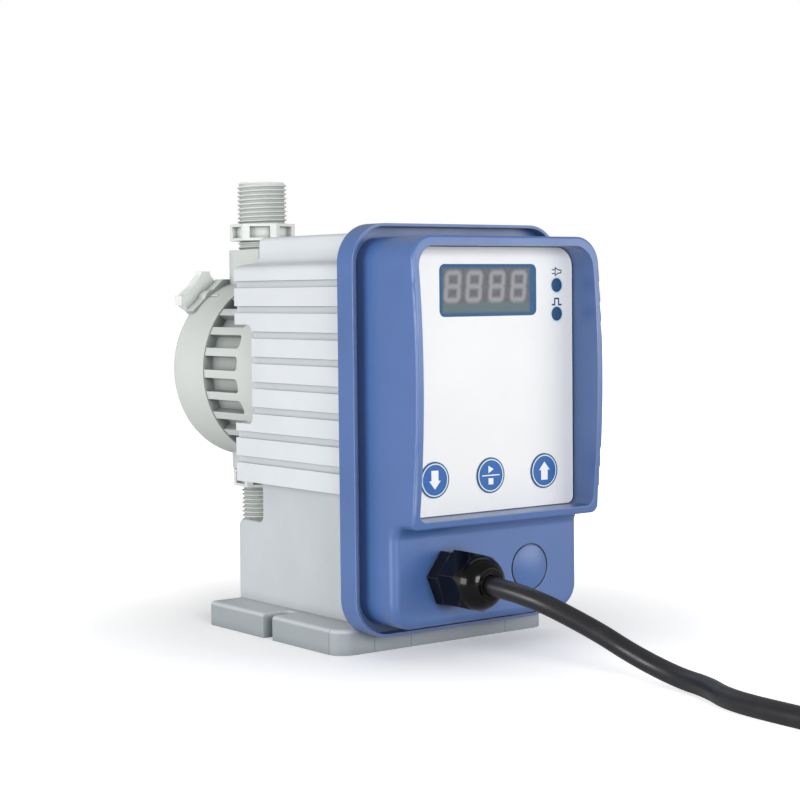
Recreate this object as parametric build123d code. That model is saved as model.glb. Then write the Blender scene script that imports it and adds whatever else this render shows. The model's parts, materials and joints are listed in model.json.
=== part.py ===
"""Solenoid diaphragm metering pump.

Frame: millimetres, X to the right when facing the control panel, Y from the panel to the
pump head, Z up. The origin lies on the underside of the foot, midway between its two slots.
"""
from build123d import *
from math import cos, pi, radians, sin, sqrt, tan
import os

os.makedirs("parts", exist_ok=True)

# ---------------------------------------------------------------- driving dimensions (mm)
# Clearances
fit_gap = 0.05             # radial running fit
screw_gap = 0.05           # screw shank to its hole
seat_gap = 0.3             # between soft or loosely seated faces

# Base: foot and pedestal
foot_width = 100.0
foot_depth = 90.0
foot_front_y = -47.0
foot_thickness = 9.5
foot_corner_radius = 7.0   # front corners
foot_rear_radius = 2.5
foot_edge_radius = 1.6
foot_slot_width = 6.4
foot_slot_length = 12.0
pedestal_width = 70.6
pedestal_corner_radius = 0.8
pedestal_hollow_radius = 3.0
pedestal_top_z = 58.3
pedestal_wall = 3.5
notch_front_y = 25.3
notch_floor_z = 41.4
notch_radius = 3.0

# Finned housing
housing_width = 87.4
housing_length = 76.5
fin_count = 9
fin_pitch = 9.78
fin_groove_width = 2.7
fin_groove_depth = 1.4
first_groove_z = 67.05
shoulder_z = 142.3
shoulder_radius = 3.0
hump_width = 63.2
hump_base_z = 143.6
hump_top_z = 154.0
hump_radius = 2.6
cove_radius = 3.2
rear_wall = 6.6            # wall that the solenoid is bolted to
side_notch_bottom_z = 81.2
side_notch_top_z = 119.9
side_notch_radius = 2.4
gasket_thickness = 1.0
cavity_size = 75.0
cavity_radius = 8.0
tie_post_radius = 5.6

# Pump axis
axis_z = 100.4

# Front cover
cover_width = 97.8
cover_bottom_z = 7.0
cover_top_z = 156.8
cover_corner_radius = 14.5
cover_flange_depth = 9.5
cover_wall = 2.8
cover_boss_radius = 4.4
cover_groove_depth = 5.0
cover_lip = 1.1            # thickness of the lip outside the groove
cover_step = 5.1           # from the flange's edge to the hood wall
chin_step = 4.6            # from the flange's lower edge to the chin
hood_depth = 27.1          # flange face to the hood rim at its top corner
hood_bulge = 3.4           # the rim stands further out at mid height
hood_bottom_z = 48.8
chin_depth = 15.7          # flange face to the face that carries the gland
panel_depth = 16.2         # flange face to the seat of the label
panel_thickness = 2.8
hood_edge_radius = 3.0     # chin's front edges and the hood's lower corners
lip_blend_radius = 4.5
rim_edge_radius = 0.9
panel_low_radius = 3.0     # lower corners of the panel recess

# Label and controls
label_thickness = 0.5
label_margin = 0.3
window_width = 45.7
window_height = 18.8
window_z = 132.4
window_radius = 2.3
window_depth = 1.2
led_radius = 2.6
led_x = 33.0
led_z = (134.0, 123.3)
key_radius = 6.5
key_spacing = 26.0
key_z = 64.9
key_cap_height = 1.7
key_travel = 0.4
board_thickness = 1.6
board_width = 76.0
board_height = 80.0
board_y = -64.0
switch_size = 6.0

# Cable gland and blanking plug
gland_x = -18.2
gland_z = 29.0
gland_thread_radius = 7.6
gland_hex_across = 19.05
gland_hex_length = 5.8
gland_hex_turn = 53.3      # degrees
gland_nut_across = 19.75
gland_nut_turn = 45.0
gland_nut_hex_length = 11.1
gland_nut_chamfer = 2.9    # length of the turned chamfer across the hexagon's corners
gland_dome_length = 5.6
gland_mouth_radius = 4.2
gland_mouth_rim = 1.6
blank_x = 19.6
blank_z = 29.2
blank_radius = 8.2
blank_dome = 1.3
blank_groove = 0.7

# Solenoid
yoke_radius = 33.0
yoke_wall = 3.5
yoke_length = 40.0
yoke_plate_thickness = 4.0
core_radius = 12.6
sleeve_wall = 0.7
bobbin_wall = 1.5
stroke = 1.25
air_gap = stroke + 0.25     # left between armature and core at the end of the stroke: 0.25
armature_length = 22.0
shaft_radius = 4.0
bushing_radius = 6.0
nose_radius = 9.0
nose_nut_across = 24.0
spring_coil_radius = 7.0
spring_wire = 1.2
spring_turns = 4

# Lantern between housing and head
lantern_radius = 37.5
lantern_wall = 11.5
lantern_length = 45.9
lantern_end_wall = 6.0
lantern_slot_count = 26
lantern_slot_width = 5.7
lantern_slot_length = 25.0
lantern_slot_depth = 4.0
lantern_slot_phase = -5.4  # degrees from +X
lantern_slot_corner = 2.0

# Pump head
head_step = 0.5            # the head stands this far proud of the lantern
head_length = 25.0
head_edge_radius = 2.2
valve_axis_from_face = 12.2
boss_half_width = 14.2
boss_overhang = 6.5        # the port bosses reach forward over the lantern
boss_top_z = 150.3
boss_bottom_z = 57.8
chamber_depth = 1.5
clamp_width = 4.0          # ring of the diaphragm held between head and lantern
diaphragm_thickness = 2.0
diaphragm_web = 1.2
diaphragm_boss_radius = 8.0
backing_inset = 5.0        # free ring of the diaphragm round its backing disc
backing_thickness = 3.7
head_screw_inset = 7.0     # from the rim of the lantern
head_screw_angles = (30.0, 150.0, 210.0, 330.0)
screw_radius = 2.0
screw_head_radius = 4.0
screw_head_height = 4.0
head_screw_length = 42.0
screw_wall = 2.5           # left between a head screw and the diaphragm
lantern_screw_wall = 1.5   # left between a lantern screw and the lantern bore
lantern_screw_length = 18.0

# Valves: G1/2 connections
port_thread_radius = 10.4775
port_thread_length = 17.5
port_chamfer = 1.0
port_bore_radius = 7.45
port_hex_across = 24.0
port_hex_height = 7.1
port_hex_turn = 22.0
hex_pocket_width = 8.6
hex_pocket_depth = 2.3
hex_pocket_top = 1.2
discharge_standoff = 3.9   # thread left showing between boss and hex
suction_standoff = 0.7
stem_radius = 10.4
stem_length = 10.3
nose_stem_radius = 8.4
nose_stem_length = 11.0
seat_ring_thickness = 3.0
seat_bore_radius = 3.6
ball_radius = 4.7625
ball_lift = 2.0
ball_cage_radius = 5.8
ball_stop_radius = 3.8

# Bleed screw
bleed_x = -20.5
bleed_z = 129.3
bleed_lug_radius = 4.4
bleed_lug_length = 6.0
bleed_web_outer = (-30.8, 124.9)
bleed_web_inner = (-15.8, 138.1)
bleed_stem_radius = 2.6
bleed_stem_length = 12.0
knob_radius = 12.2
knob_hub_radius = 8.2
knob_lobe_width = 4.2
knob_lobes = 4
knob_thickness = 5.6
knob_flare = 1.5           # lobe root to lobe width

# Cord
cord_diameter = 7.0
cord_floor_z = 3.9
coil_centre = (33.0, -258.0)
coil_outer_turn = 42.0
coil_layers = 3
plug_pin_radius = 2.4
plug_pin_spacing = 19.0
plug_pin_length = 19.0
plug_body_radius = 18.0
plug_body_length = 34.0
plug_neck_length = 22.0
plug_flat = 14.0           # half thickness across the plug's flats

# ---------------------------------------------------------------- derived places
foot_centre_y = foot_front_y + foot_depth / 2
foot_rear_y = foot_front_y + foot_depth
cover_back_y = foot_front_y
housing_front_y = cover_back_y + gasket_thickness
housing_rear_y = housing_front_y + housing_length
flange_y = cover_back_y - cover_flange_depth
chin_y = flange_y - chin_depth
panel_y = flange_y - panel_depth
label_y = panel_y - label_thickness
panel_back_y = panel_y + panel_thickness
lantern_front_y = housing_rear_y - 11.9
lantern_rear_y = lantern_front_y + lantern_length
wall_front_y = lantern_front_y - rear_wall
head_front_y = lantern_rear_y
lantern_bore = lantern_radius - lantern_wall
lantern_screw_circle = lantern_bore + lantern_screw_wall + screw_radius
head_radius = lantern_radius + head_step
head_screw_circle = lantern_radius - head_screw_inset
clamp_radius = head_screw_circle - screw_radius - screw_wall
chamber_radius = clamp_radius - clamp_width
backing_radius = chamber_radius - backing_inset
head_rear_y = head_front_y + head_length
valve_y = head_front_y + valve_axis_from_face
hood_half_width = cover_width / 2 - cover_step
hood_top_z = cover_top_z - cover_step
chin_bottom_z = cover_bottom_z + chin_step
hood_corner_radius = cover_corner_radius - cover_step
post_offset = cavity_size / 2 - 1.3
post_places = [(sx * post_offset, axis_z + sz * (post_offset - 3.0)) for sx in (-1, 1) for sz in (-1, 1)]
yoke_rear_y = wall_front_y
yoke_front_y = yoke_rear_y - yoke_length
core_front_y = yoke_rear_y - 18.0
armature_rear_y = core_front_y - air_gap
board_back_y = board_y
board_front_y = board_y - board_thickness
key_places = [(i * key_spacing, key_z) for i in (-1, 0, 1)]
label_bottom_z = hood_bottom_z + cover_wall
label_top_z = hood_top_z - cover_wall - 0.6
label_half_width = hood_half_width - cover_wall - label_margin
recess_centre_z = (label_bottom_z + label_top_z) / 2
recess_height = label_top_z - label_bottom_z
gland_face_y = chin_y
gland_nut_back_y = gland_face_y - gland_hex_length - seat_gap
gland_dome_y = gland_nut_back_y - gland_nut_hex_length
gland_end_y = gland_dome_y - gland_dome_length
seal_front_y = gland_dome_y + 0.5
seal_back_y = seal_front_y + 7.0
cord_radius = cord_diameter / 2
coil_inner_turn = coil_outer_turn - cord_diameter


# ---------------------------------------------------------------- helpers
def along_y(sketch, front_y, rear_y):
    """Extrude a sketch drawn in X and Z from front_y to rear_y."""
    return extrude(Plane.XZ.offset(-rear_y) * sketch, rear_y - front_y)


def along_x(sketch, half_width):
    """Extrude a sketch drawn in Y and Z to both sides of the middle plane."""
    return extrude(Plane.YZ * sketch, half_width, both=True)


def along_z(sketch, low_z, high_z):
    """Extrude a sketch drawn in X and Y from low_z to high_z."""
    return extrude(Plane.XY.offset(low_z) * sketch, high_z - low_z)


def disc_y(radius, front_y, rear_y, x=0.0, z=axis_z):
    return along_y(Pos(x, z) * Circle(radius), front_y, rear_y)


def ring_y(outer, inner, front_y, rear_y, x=0.0, z=axis_z):
    return disc_y(outer, front_y, rear_y, x, z) - disc_y(inner, front_y - 1, rear_y + 1, x, z)


def disc_z(radius, low_z, high_z, x=0.0, y=valve_y):
    return along_z(Pos(x, y) * Circle(radius), low_z, high_z)


def hexagon(across, turn=0.0):
    return Rot(0, 0, turn) * RegularPolygon(across / sqrt(3), 6)


def circle_places(circle_radius, angles):
    """Places on a circle about the pump axis, as X and Z."""
    return [
        (circle_radius * cos(radians(a)), axis_z + circle_radius * sin(radians(a))) for a in angles
    ]


def screw_y(x, z, head_front_y, length, head_radius=screw_head_radius, head_height=screw_head_height):
    """Socket head screw whose head is at its rear end and whose shank points to -Y."""
    body = disc_y(head_radius, head_front_y, head_front_y + head_height, x, z)
    socket = along_y(
        Pos(x, z) * hexagon(screw_radius * 1.5), head_front_y + head_height / 2, head_front_y + head_height
    )
    return body - socket + disc_y(screw_radius, head_front_y - length, head_front_y, x, z)


# ---------------------------------------------------------------- base
def make_base():
    plan = Pos(0, foot_centre_y) * Rectangle(foot_width, foot_depth)
    plan = fillet(plan.vertices().group_by(Axis.Y)[0], foot_corner_radius)
    plan = fillet(plan.vertices().group_by(Axis.Y)[-1], foot_rear_radius)
    foot = along_z(plan, 0, foot_thickness)
    foot = fillet(foot.edges().group_by(Axis.Z)[-1], foot_edge_radius)
    side = Polyline(
        (cover_back_y, foot_thickness - 1),
        (foot_rear_y, foot_thickness - 1),
        (foot_rear_y, notch_floor_z),
        (notch_front_y, notch_floor_z),
        (notch_front_y, pedestal_top_z),
        (cover_back_y, pedestal_top_z),
        (cover_back_y, foot_thickness - 1),
    )
    face = make_face(side)
    corners = face.vertices().filter_by(lambda v: abs(v.Y - notch_floor_z) < 0.01)
    face = fillet(corners, notch_radius)
    pedestal = along_x(face, pedestal_width / 2)
    rear = pedestal.edges().filter_by(Axis.Z).filter_by(
        lambda e: abs(e.center().Y - foot_rear_y) < 0.1
    )
    pedestal = fillet(rear, pedestal_corner_radius)
    base = foot + pedestal
    inner_half = pedestal_width / 2 - pedestal_wall
    inner_depth = notch_front_y - cover_back_y - 2 * pedestal_wall
    hollow = Pos(0, (cover_back_y + notch_front_y) / 2) * RectangleRounded(
        2 * inner_half, inner_depth, pedestal_hollow_radius
    )
    base -= along_z(hollow, -1, pedestal_top_z - pedestal_wall)
    for side_sign in (-1, 1):
        inner = side_sign * (foot_width / 2 - foot_slot_length + foot_slot_width / 2)
        outer = side_sign * (foot_width / 2 + 2)
        slot = Pos((inner + outer) / 2, 0) * Rectangle(abs(outer - inner), foot_slot_width)
        slot += Pos(inner, 0) * Circle(foot_slot_width / 2)
        base -= along_z(slot, -1, foot_thickness + 1)
    for x, y in base_screw_places:
        base -= disc_z(screw_radius + screw_gap, pedestal_top_z - pedestal_wall - 1, pedestal_top_z + 1, x, y)
    return base


base_screw_places = [(sx * 22.0, y) for sx in (-1, 1) for y in (-30.0, 8.0)]


# ---------------------------------------------------------------- housing
def housing_section():
    """Outer section of the finned housing, in X and Z."""
    half = housing_width / 2
    hump = hump_width / 2
    right = [
        (0, pedestal_top_z),
        (half, pedestal_top_z),
        (half, shoulder_z),
        (hump + cove_radius + 2.0, hump_base_z),
        (hump, hump_base_z + 0.4),
        (hump, hump_top_z),
        (0, hump_top_z + 0.8),
    ]
    left = [(-x, z) for x, z in reversed(right[1:-1])]
    face = make_face(Polyline(*right, *left, right[0]))

    def at(x, z):
        return lambda v: abs(abs(v.X) - x) < 0.01 and abs(v.Y - z) < 0.01

    face = fillet(face.vertices().filter_by(at(half, shoulder_z)), shoulder_radius)
    face = fillet(face.vertices().filter_by(at(hump, hump_base_z + 0.4)), cove_radius)
    face = fillet(face.vertices().filter_by(at(hump, hump_top_z)), hump_radius)
    for k in range(fin_count - 1):
        z = first_groove_z + k * fin_pitch
        for side in (-1, 1):
            face -= Pos(side * half, z) * RectangleRounded(2 * fin_groove_depth, fin_groove_width, 0.6)
    return face


def make_housing():
    body = along_y(housing_section(), housing_front_y, housing_rear_y)
    cavity = Pos(0, axis_z) * RectangleRounded(cavity_size, cavity_size, cavity_radius)
    for x, z in post_places:
        cavity -= Pos(x, z) * Circle(tie_post_radius)
    body -= along_y(cavity, housing_front_y - 1, wall_front_y)
    body -= disc_y(lantern_radius + fit_gap, lantern_front_y, housing_rear_y + 1)
    body -= disc_y(nose_radius + fit_gap, wall_front_y - 1, lantern_front_y + 1)
    notch_height = side_notch_top_z - side_notch_bottom_z
    notch_depth = housing_rear_y - lantern_front_y
    for side in (-1, 1):
        opening = Box(20, 2 * notch_depth, notch_height)
        opening = fillet(opening.edges().filter_by(Axis.X), side_notch_radius)
        opening_z = side_notch_bottom_z + notch_height / 2
        body -= Pos(side * (housing_width / 2), housing_rear_y, opening_z) * opening
    for x, z in post_places:
        body -= disc_y(screw_radius + screw_gap, housing_front_y - 1, housing_rear_y + 1, x, z)
        body -= disc_y(
            screw_head_radius + seat_gap, housing_rear_y - screw_head_height - 0.5, housing_rear_y + 1, x, z
        )
    for x, z in circle_places(lantern_screw_circle, (0, 90, 180, 270)):
        body -= disc_y(screw_radius + screw_gap, wall_front_y - 1, lantern_front_y + 1, x, z)
        body -= disc_y(
            screw_head_radius + fit_gap, wall_front_y - 1, wall_front_y + lantern_head_height, x, z
        )
    for x, y in base_screw_places:
        body -= disc_z(screw_radius + screw_gap, pedestal_top_z - 1, axis_z, x, y)
    return body


lantern_head_height = 2.6


def make_gasket():
    """Flat seal between the housing and the front cover."""
    outer = Pos(0, axis_z) * RectangleRounded(cavity_size + 6, cavity_size + 6, cavity_radius)
    inner = Pos(0, axis_z) * RectangleRounded(cavity_size, cavity_size, cavity_radius)
    seal = outer - inner
    for x, z in post_places:
        seal += Pos(x, z) * Circle(tie_post_radius)
        seal -= Pos(x, z) * Circle(screw_radius + screw_gap)
    return along_y(seal, cover_back_y, housing_front_y)


# ---------------------------------------------------------------- front cover
def hood_outline(inset=0.0, bottom=None, top=None):
    low = chin_bottom_z if bottom is None else bottom
    high = hood_top_z if top is None else top
    return Pos(0, (low + high) / 2) * RectangleRounded(
        2 * (hood_half_width - inset), high - low, max(hood_corner_radius - inset, 2.0)
    )


def hood_side_profile():
    """Side view of chin and hood in Y and Z: the rim is a shallow arc, the chin steps back."""
    rim_y = flange_y - hood_depth
    path = [
        Line((flange_y, chin_bottom_z), (chin_y, chin_bottom_z)),
        Line((chin_y, chin_bottom_z), (chin_y, hood_bottom_z)),
        Line((chin_y, hood_bottom_z), (rim_y, hood_bottom_z)),
        ThreePointArc(
            (rim_y, hood_bottom_z),
            (rim_y - hood_bulge, (hood_bottom_z + hood_top_z) / 2),
            (rim_y, hood_top_z),
        ),
        Line((rim_y, hood_top_z), (flange_y, hood_top_z)),
        Line((flange_y, hood_top_z), (flange_y, chin_bottom_z)),
    ]
    face = make_face(path)
    step = face.vertices().filter_by(
        lambda v: abs(v.X - chin_y) < 0.01 and abs(v.Y - hood_bottom_z) < 0.01
    )
    return fillet(step, lip_blend_radius)


def panel_outline(half_width, height, low_radius, high_radius):
    """Outline of the panel recess or its label: tight lower corners, wide upper corners."""
    outline = Pos(0, recess_centre_z) * Rectangle(2 * half_width, height)
    outline = fillet(outline.vertices().group_by(Axis.Y)[0], low_radius)
    return fillet(outline.vertices().group_by(Axis.Y)[-1], high_radius)


def make_hood():
    """Chin and hood in one block, with the chin's front edges and the hood's lower corners rounded."""
    front_y = flange_y - hood_depth - hood_bulge
    hood = along_y(hood_outline(), front_y - 1, flange_y) & along_x(hood_side_profile(), hood_half_width + 1)
    low_edges = hood.edges().filter_by(Axis.Y).filter_by(
        lambda e: abs(e.center().Z - hood_bottom_z) < 0.01
    )
    hood = fillet(low_edges, hood_edge_radius)
    rim = hood.faces().sort_by(Axis.Y)[0]
    return fillet(rim.outer_wire().edges(), rim_edge_radius)


def make_front_cover():
    plate_outline = Pos(0, (cover_bottom_z + cover_top_z) / 2) * RectangleRounded(
        cover_width, cover_top_z - cover_bottom_z, cover_corner_radius
    )
    plate = along_y(plate_outline, flange_y, cover_back_y)
    groove_outer = Pos(0, (cover_bottom_z + cover_top_z) / 2) * RectangleRounded(
        cover_width - 2 * cover_lip,
        cover_top_z - cover_bottom_z - 2 * cover_lip,
        cover_corner_radius - cover_lip,
    )
    groove = along_y(groove_outer - hood_outline(), flange_y - 1, flange_y + cover_groove_depth)
    cover = plate - groove + make_hood()
    recess = panel_outline(
        hood_half_width - cover_wall, recess_height, panel_low_radius, hood_corner_radius - 1.5
    )
    cover -= along_y(recess, flange_y - hood_depth - hood_bulge - 1, panel_y)
    cavity = hood_outline(cover_wall, chin_bottom_z + cover_wall, hood_top_z - cover_wall)
    cover -= along_y(cavity, panel_back_y, board_back_y)
    for x, z in post_places:
        cavity -= Pos(x, z) * Circle(cover_boss_radius)
        web = Rectangle(hood_half_width - abs(x), 1.6 * cover_boss_radius)
        cavity -= Pos((hood_half_width + abs(x)) / 2 * (1 if x > 0 else -1), z) * web
    cover -= along_y(cavity, board_back_y, cover_back_y + 1)
    window = Pos(0, window_z) * RectangleRounded(window_width - 2, window_height - 2, window_radius)
    cover -= along_y(window, panel_y - 1, panel_back_y + 1)
    for x, z in key_places:
        cover -= disc_y(key_radius - 0.8, panel_y - 1, panel_back_y + 1, x, z)
    for z in led_z:
        cover -= disc_y(led_radius - 0.6, panel_y - 1, panel_back_y + 1, led_x, z)
    cover -= disc_y(gland_thread_radius + fit_gap, chin_y - 1, panel_back_y + 1, gland_x, gland_z)
    cover -= disc_y(gland_thread_radius + fit_gap, chin_y - 1, panel_back_y + 1, blank_x, blank_z)
    cover -= disc_y(blank_radius + blank_groove, chin_y - 1, chin_y + blank_groove, blank_x, blank_z)
    for x, z in post_places:
        cover -= disc_y(screw_radius + screw_gap, board_back_y + 2, cover_back_y + 1, x, z)
    return cover


def make_label():
    sheet = panel_outline(
        label_half_width,
        recess_height - 2 * label_margin,
        panel_low_radius - label_margin,
        hood_corner_radius - 2.0,
    )
    label = along_y(sheet, label_y, panel_y)
    opening = Pos(0, window_z) * RectangleRounded(
        window_width + 2 * fit_gap, window_height + 2 * fit_gap, window_radius
    )
    label -= along_y(opening, label_y - 1, panel_y + 1)
    for x, z in key_places:
        label -= disc_y(key_radius + fit_gap, label_y - 1, panel_y + 1, x, z)
    for z in led_z:
        label -= disc_y(led_radius + fit_gap, label_y - 1, panel_y + 1, led_x, z)
    return label


def make_display_window():
    pane = along_y(
        Pos(0, window_z) * RectangleRounded(window_width, window_height, window_radius), label_y, panel_y
    )
    rebate = along_y(
        Pos(0, window_z) * RectangleRounded(window_width - 2.2, window_height - 2.2, window_radius - 0.2),
        panel_y,
        panel_y + window_depth,
    )
    return pane + rebate


def make_status_leds():
    """Two lenses that stand on the board and end flush with the label."""
    return [
        disc_y(led_radius, label_y, panel_y, led_x, z)
        + disc_y(led_radius - 0.7, panel_y, board_front_y, led_x, z)
        for z in led_z
    ]


def make_key(place):
    """Round key cap with a stem that reaches its switch through the panel."""
    x, z = place
    cap = disc_y(key_radius, label_y - key_travel, panel_y - key_travel - fit_gap, x, z)
    stem = disc_y(key_radius - 1.5, panel_y - key_travel - fit_gap, panel_y + key_cap_height, x, z)
    return cap + stem


def make_circuit_board():
    """Board seated on the front faces of the four screw bosses."""
    return along_y(Pos(0, axis_z) * Rectangle(board_width, board_height), board_front_y, board_back_y)


def make_display_module():
    front_y = panel_y + window_depth + 0.1
    return along_y(Pos(0, window_z) * Rectangle(window_width - 4, window_height - 4), front_y, board_front_y)


def make_key_switches():
    """Square switches on the board with round actuators behind the key stems."""
    actuator_y = panel_y + key_cap_height + key_travel + 0.1
    return [
        along_y(Pos(x, z) * Rectangle(switch_size, switch_size), board_front_y - 3.4, board_front_y)
        + disc_y(1.7, actuator_y, board_front_y - 3.0, x, z)
        for x, z in key_places
    ]


def make_blanking_plug():
    """Domed disc in the unused cable entry, held by a barrel with a snap rim."""
    radius_of_dome = (blank_radius**2 + blank_dome**2) / (2 * blank_dome)
    cap = Sphere(radius_of_dome)
    cap = Pos(blank_x, chin_y - blank_dome + radius_of_dome, blank_z) * cap
    cap &= disc_y(blank_radius, chin_y - blank_dome - 1, chin_y, blank_x, blank_z)
    cap += disc_y(blank_radius, chin_y, chin_y + blank_groove, blank_x, blank_z)
    barrel = ring_y(
        gland_thread_radius, gland_thread_radius - 1.6, chin_y, panel_back_y + 1.2, blank_x, blank_z
    )
    return cap + barrel


# ---------------------------------------------------------------- cable gland
def gland_hex(across, turn, front_y, rear_y):
    return along_y(Pos(gland_x, gland_z) * hexagon(across, turn), front_y, rear_y)


def make_gland_body():
    body = gland_hex(gland_hex_across, gland_hex_turn, gland_face_y - gland_hex_length, gland_face_y)
    body += disc_y(gland_thread_radius, gland_face_y, panel_back_y + 8, gland_x, gland_z)
    body += disc_y(gland_thread_radius - 0.7, seal_front_y + 2, gland_face_y, gland_x, gland_z)
    body -= disc_y(cord_radius + 1.4, seal_front_y, panel_back_y + 9, gland_x, gland_z)
    return body


def make_gland_seal():
    return ring_y(cord_radius + 1.4, cord_radius, seal_front_y + 2, seal_back_y, gland_x, gland_z)


def make_gland_locknut():
    nut = gland_hex(gland_hex_across, gland_hex_turn, panel_back_y, panel_back_y + 4.5)
    return nut - disc_y(gland_thread_radius + fit_gap, panel_back_y - 1, panel_back_y + 6, gland_x, gland_z)


def make_gland_nut():
    """Hexagon with a chamfered shoulder that runs into a round dome."""
    nut = gland_hex(gland_nut_across, gland_nut_turn, gland_dome_y, gland_nut_back_y)
    flat_radius = gland_nut_across / 2
    corner_radius = gland_nut_across / sqrt(3) + 0.2
    rim_radius = gland_mouth_radius + gland_mouth_rim
    chamfer_y = gland_dome_y + gland_nut_chamfer
    profile = [
        Line((0, gland_nut_back_y), (corner_radius, gland_nut_back_y)),
        Line((corner_radius, gland_nut_back_y), (corner_radius, chamfer_y)),
        Line((corner_radius, chamfer_y), (flat_radius, gland_dome_y)),
        ThreePointArc(
            (flat_radius, gland_dome_y),
            (flat_radius * 0.88, gland_dome_y - gland_dome_length * 0.55),
            (rim_radius, gland_end_y),
        ),
        Line((rim_radius, gland_end_y), (0, gland_end_y)),
        Line((0, gland_end_y), (0, gland_nut_back_y)),
    ]
    taper = Pos(gland_x, 0, gland_z) * revolve(Plane.XY * make_face(profile), Axis.Y)
    dome = taper & disc_y(20, gland_end_y - 1, gland_dome_y + 0.01, gland_x, gland_z)
    nut = (nut & taper) + dome
    bore_radius = gland_thread_radius - 0.7 + fit_gap
    nut -= disc_y(bore_radius, seal_front_y + 2 - seat_gap, gland_nut_back_y + 1, gland_x, gland_z)
    nut -= disc_y(gland_mouth_radius, gland_end_y - 1, gland_dome_y + 4, gland_x, gland_z)
    return nut


# ---------------------------------------------------------------- solenoid
def make_yoke_cup():
    """Steel cup with the pole core and a threaded nose through the housing wall."""
    cup = ring_y(yoke_radius, yoke_radius - yoke_wall, yoke_front_y, yoke_rear_y)
    cup += disc_y(yoke_radius, yoke_rear_y - yoke_plate_thickness, yoke_rear_y)
    cup += disc_y(core_radius, core_front_y, yoke_rear_y)
    cup += disc_y(nose_radius, yoke_rear_y, lantern_front_y + 6.5)
    cup -= disc_y(bushing_radius, core_front_y + 8, lantern_front_y + 8)
    cup -= disc_y(spring_coil_radius + 2 * spring_wire, core_front_y - 1, core_front_y + 8)
    return cup


def make_yoke_plate():
    return ring_y(
        yoke_radius - yoke_wall - fit_gap,
        core_radius + sleeve_wall + 2 * fit_gap,
        yoke_front_y,
        yoke_front_y + yoke_plate_thickness,
    )


def make_guide_sleeve():
    """Brass tube that guides the armature and slips over the pole core."""
    inner = core_radius + fit_gap
    return ring_y(inner + sleeve_wall, inner, yoke_front_y, yoke_rear_y - yoke_plate_thickness)


bobbin_inner = core_radius + sleeve_wall + 3 * fit_gap
bobbin_front_y = yoke_front_y + yoke_plate_thickness
bobbin_rear_y = yoke_rear_y - yoke_plate_thickness


def make_bobbin():
    flange_radius = yoke_radius - yoke_wall - seat_gap
    bobbin = ring_y(bobbin_inner + bobbin_wall, bobbin_inner, bobbin_front_y, bobbin_rear_y)
    bobbin += ring_y(flange_radius, bobbin_inner, bobbin_front_y, bobbin_front_y + bobbin_wall)
    bobbin += ring_y(flange_radius, bobbin_inner, bobbin_rear_y - bobbin_wall, bobbin_rear_y)
    return bobbin


def make_winding():
    return ring_y(
        yoke_radius - yoke_wall - 2.0,
        bobbin_inner + bobbin_wall + fit_gap,
        bobbin_front_y + bobbin_wall,
        bobbin_rear_y - bobbin_wall,
    )


def make_armature():
    body = disc_y(core_radius, armature_rear_y - armature_length, armature_rear_y)
    body -= disc_y(shaft_radius + fit_gap, armature_rear_y - 14, armature_rear_y + 1)
    body -= disc_y(spring_coil_radius + 2 * spring_wire, armature_rear_y - 3, armature_rear_y + 1)
    return chamfer(body.edges().group_by(Axis.Y)[0], 0.6)


def make_plunger_shaft():
    shaft = disc_y(shaft_radius, armature_rear_y - 13.9, backing_rear_y - 0.5)
    return chamfer(shaft.edges().group_by(Axis.Y)[-1], 0.4)


backing_front_y = head_front_y - 4.3
backing_rear_y = backing_front_y + backing_thickness


def make_shaft_bushing():
    return ring_y(bushing_radius - 0.01, shaft_radius + fit_gap, core_front_y + 12, lantern_front_y + 6)


def make_nose_nut():
    nut = along_y(
        Pos(0, axis_z) * hexagon(nose_nut_across), lantern_front_y, lantern_front_y + 5.5
    )
    return nut - disc_y(nose_radius + fit_gap, lantern_front_y - 1, lantern_front_y + 7)


def make_return_spring():
    """Compression spring between the pole core and the armature."""
    front_y = armature_rear_y - 3 + spring_wire
    rear_y = core_front_y + 8 - spring_wire
    radius = spring_coil_radius + spring_wire / 2
    pitch = (rear_y - front_y) / spring_turns
    helix = Helix(pitch, rear_y - front_y, radius, center=(0, front_y, axis_z), direction=(0, 1, 0))
    section = Plane(helix @ 0, z_dir=helix % 0) * Circle(spring_wire)
    return sweep(section, helix, is_frenet=True)


# ---------------------------------------------------------------- lantern and head
def make_lantern():
    body = disc_y(lantern_radius, lantern_front_y, lantern_rear_y)
    body -= disc_y(lantern_bore, lantern_front_y - 1, lantern_rear_y - lantern_end_wall)
    body -= disc_y(backing_radius + 1.0, lantern_front_y, lantern_rear_y + 1)
    slot_start_y = lantern_rear_y - lantern_slot_length
    pocket = Box(2 * lantern_slot_depth, 2 * lantern_slot_length, lantern_slot_width)
    pocket = fillet(pocket.edges().filter_by(Axis.X), lantern_slot_corner)
    for k in range(lantern_slot_count):
        angle = lantern_slot_phase + k * 360.0 / lantern_slot_count
        body -= (
            Pos(0, 0, axis_z)
            * Rot(0, -angle, 0)
            * Pos(lantern_radius, slot_start_y + lantern_slot_length, 0)
            * pocket
        )
    for x, z in circle_places(head_screw_circle, head_screw_angles):
        body -= disc_y(
            screw_radius + screw_gap, head_screw_seat_y - head_screw_length - 1, lantern_rear_y + 1, x, z
        )
    for x, z in circle_places(lantern_screw_circle, (0, 90, 180, 270)):
        body -= disc_y(
            screw_radius + screw_gap, lantern_front_y - 1, wall_front_y + lantern_screw_length + 1, x, z
        )
    return body


head_screw_seat_y = head_rear_y - screw_head_height - 0.5


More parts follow.
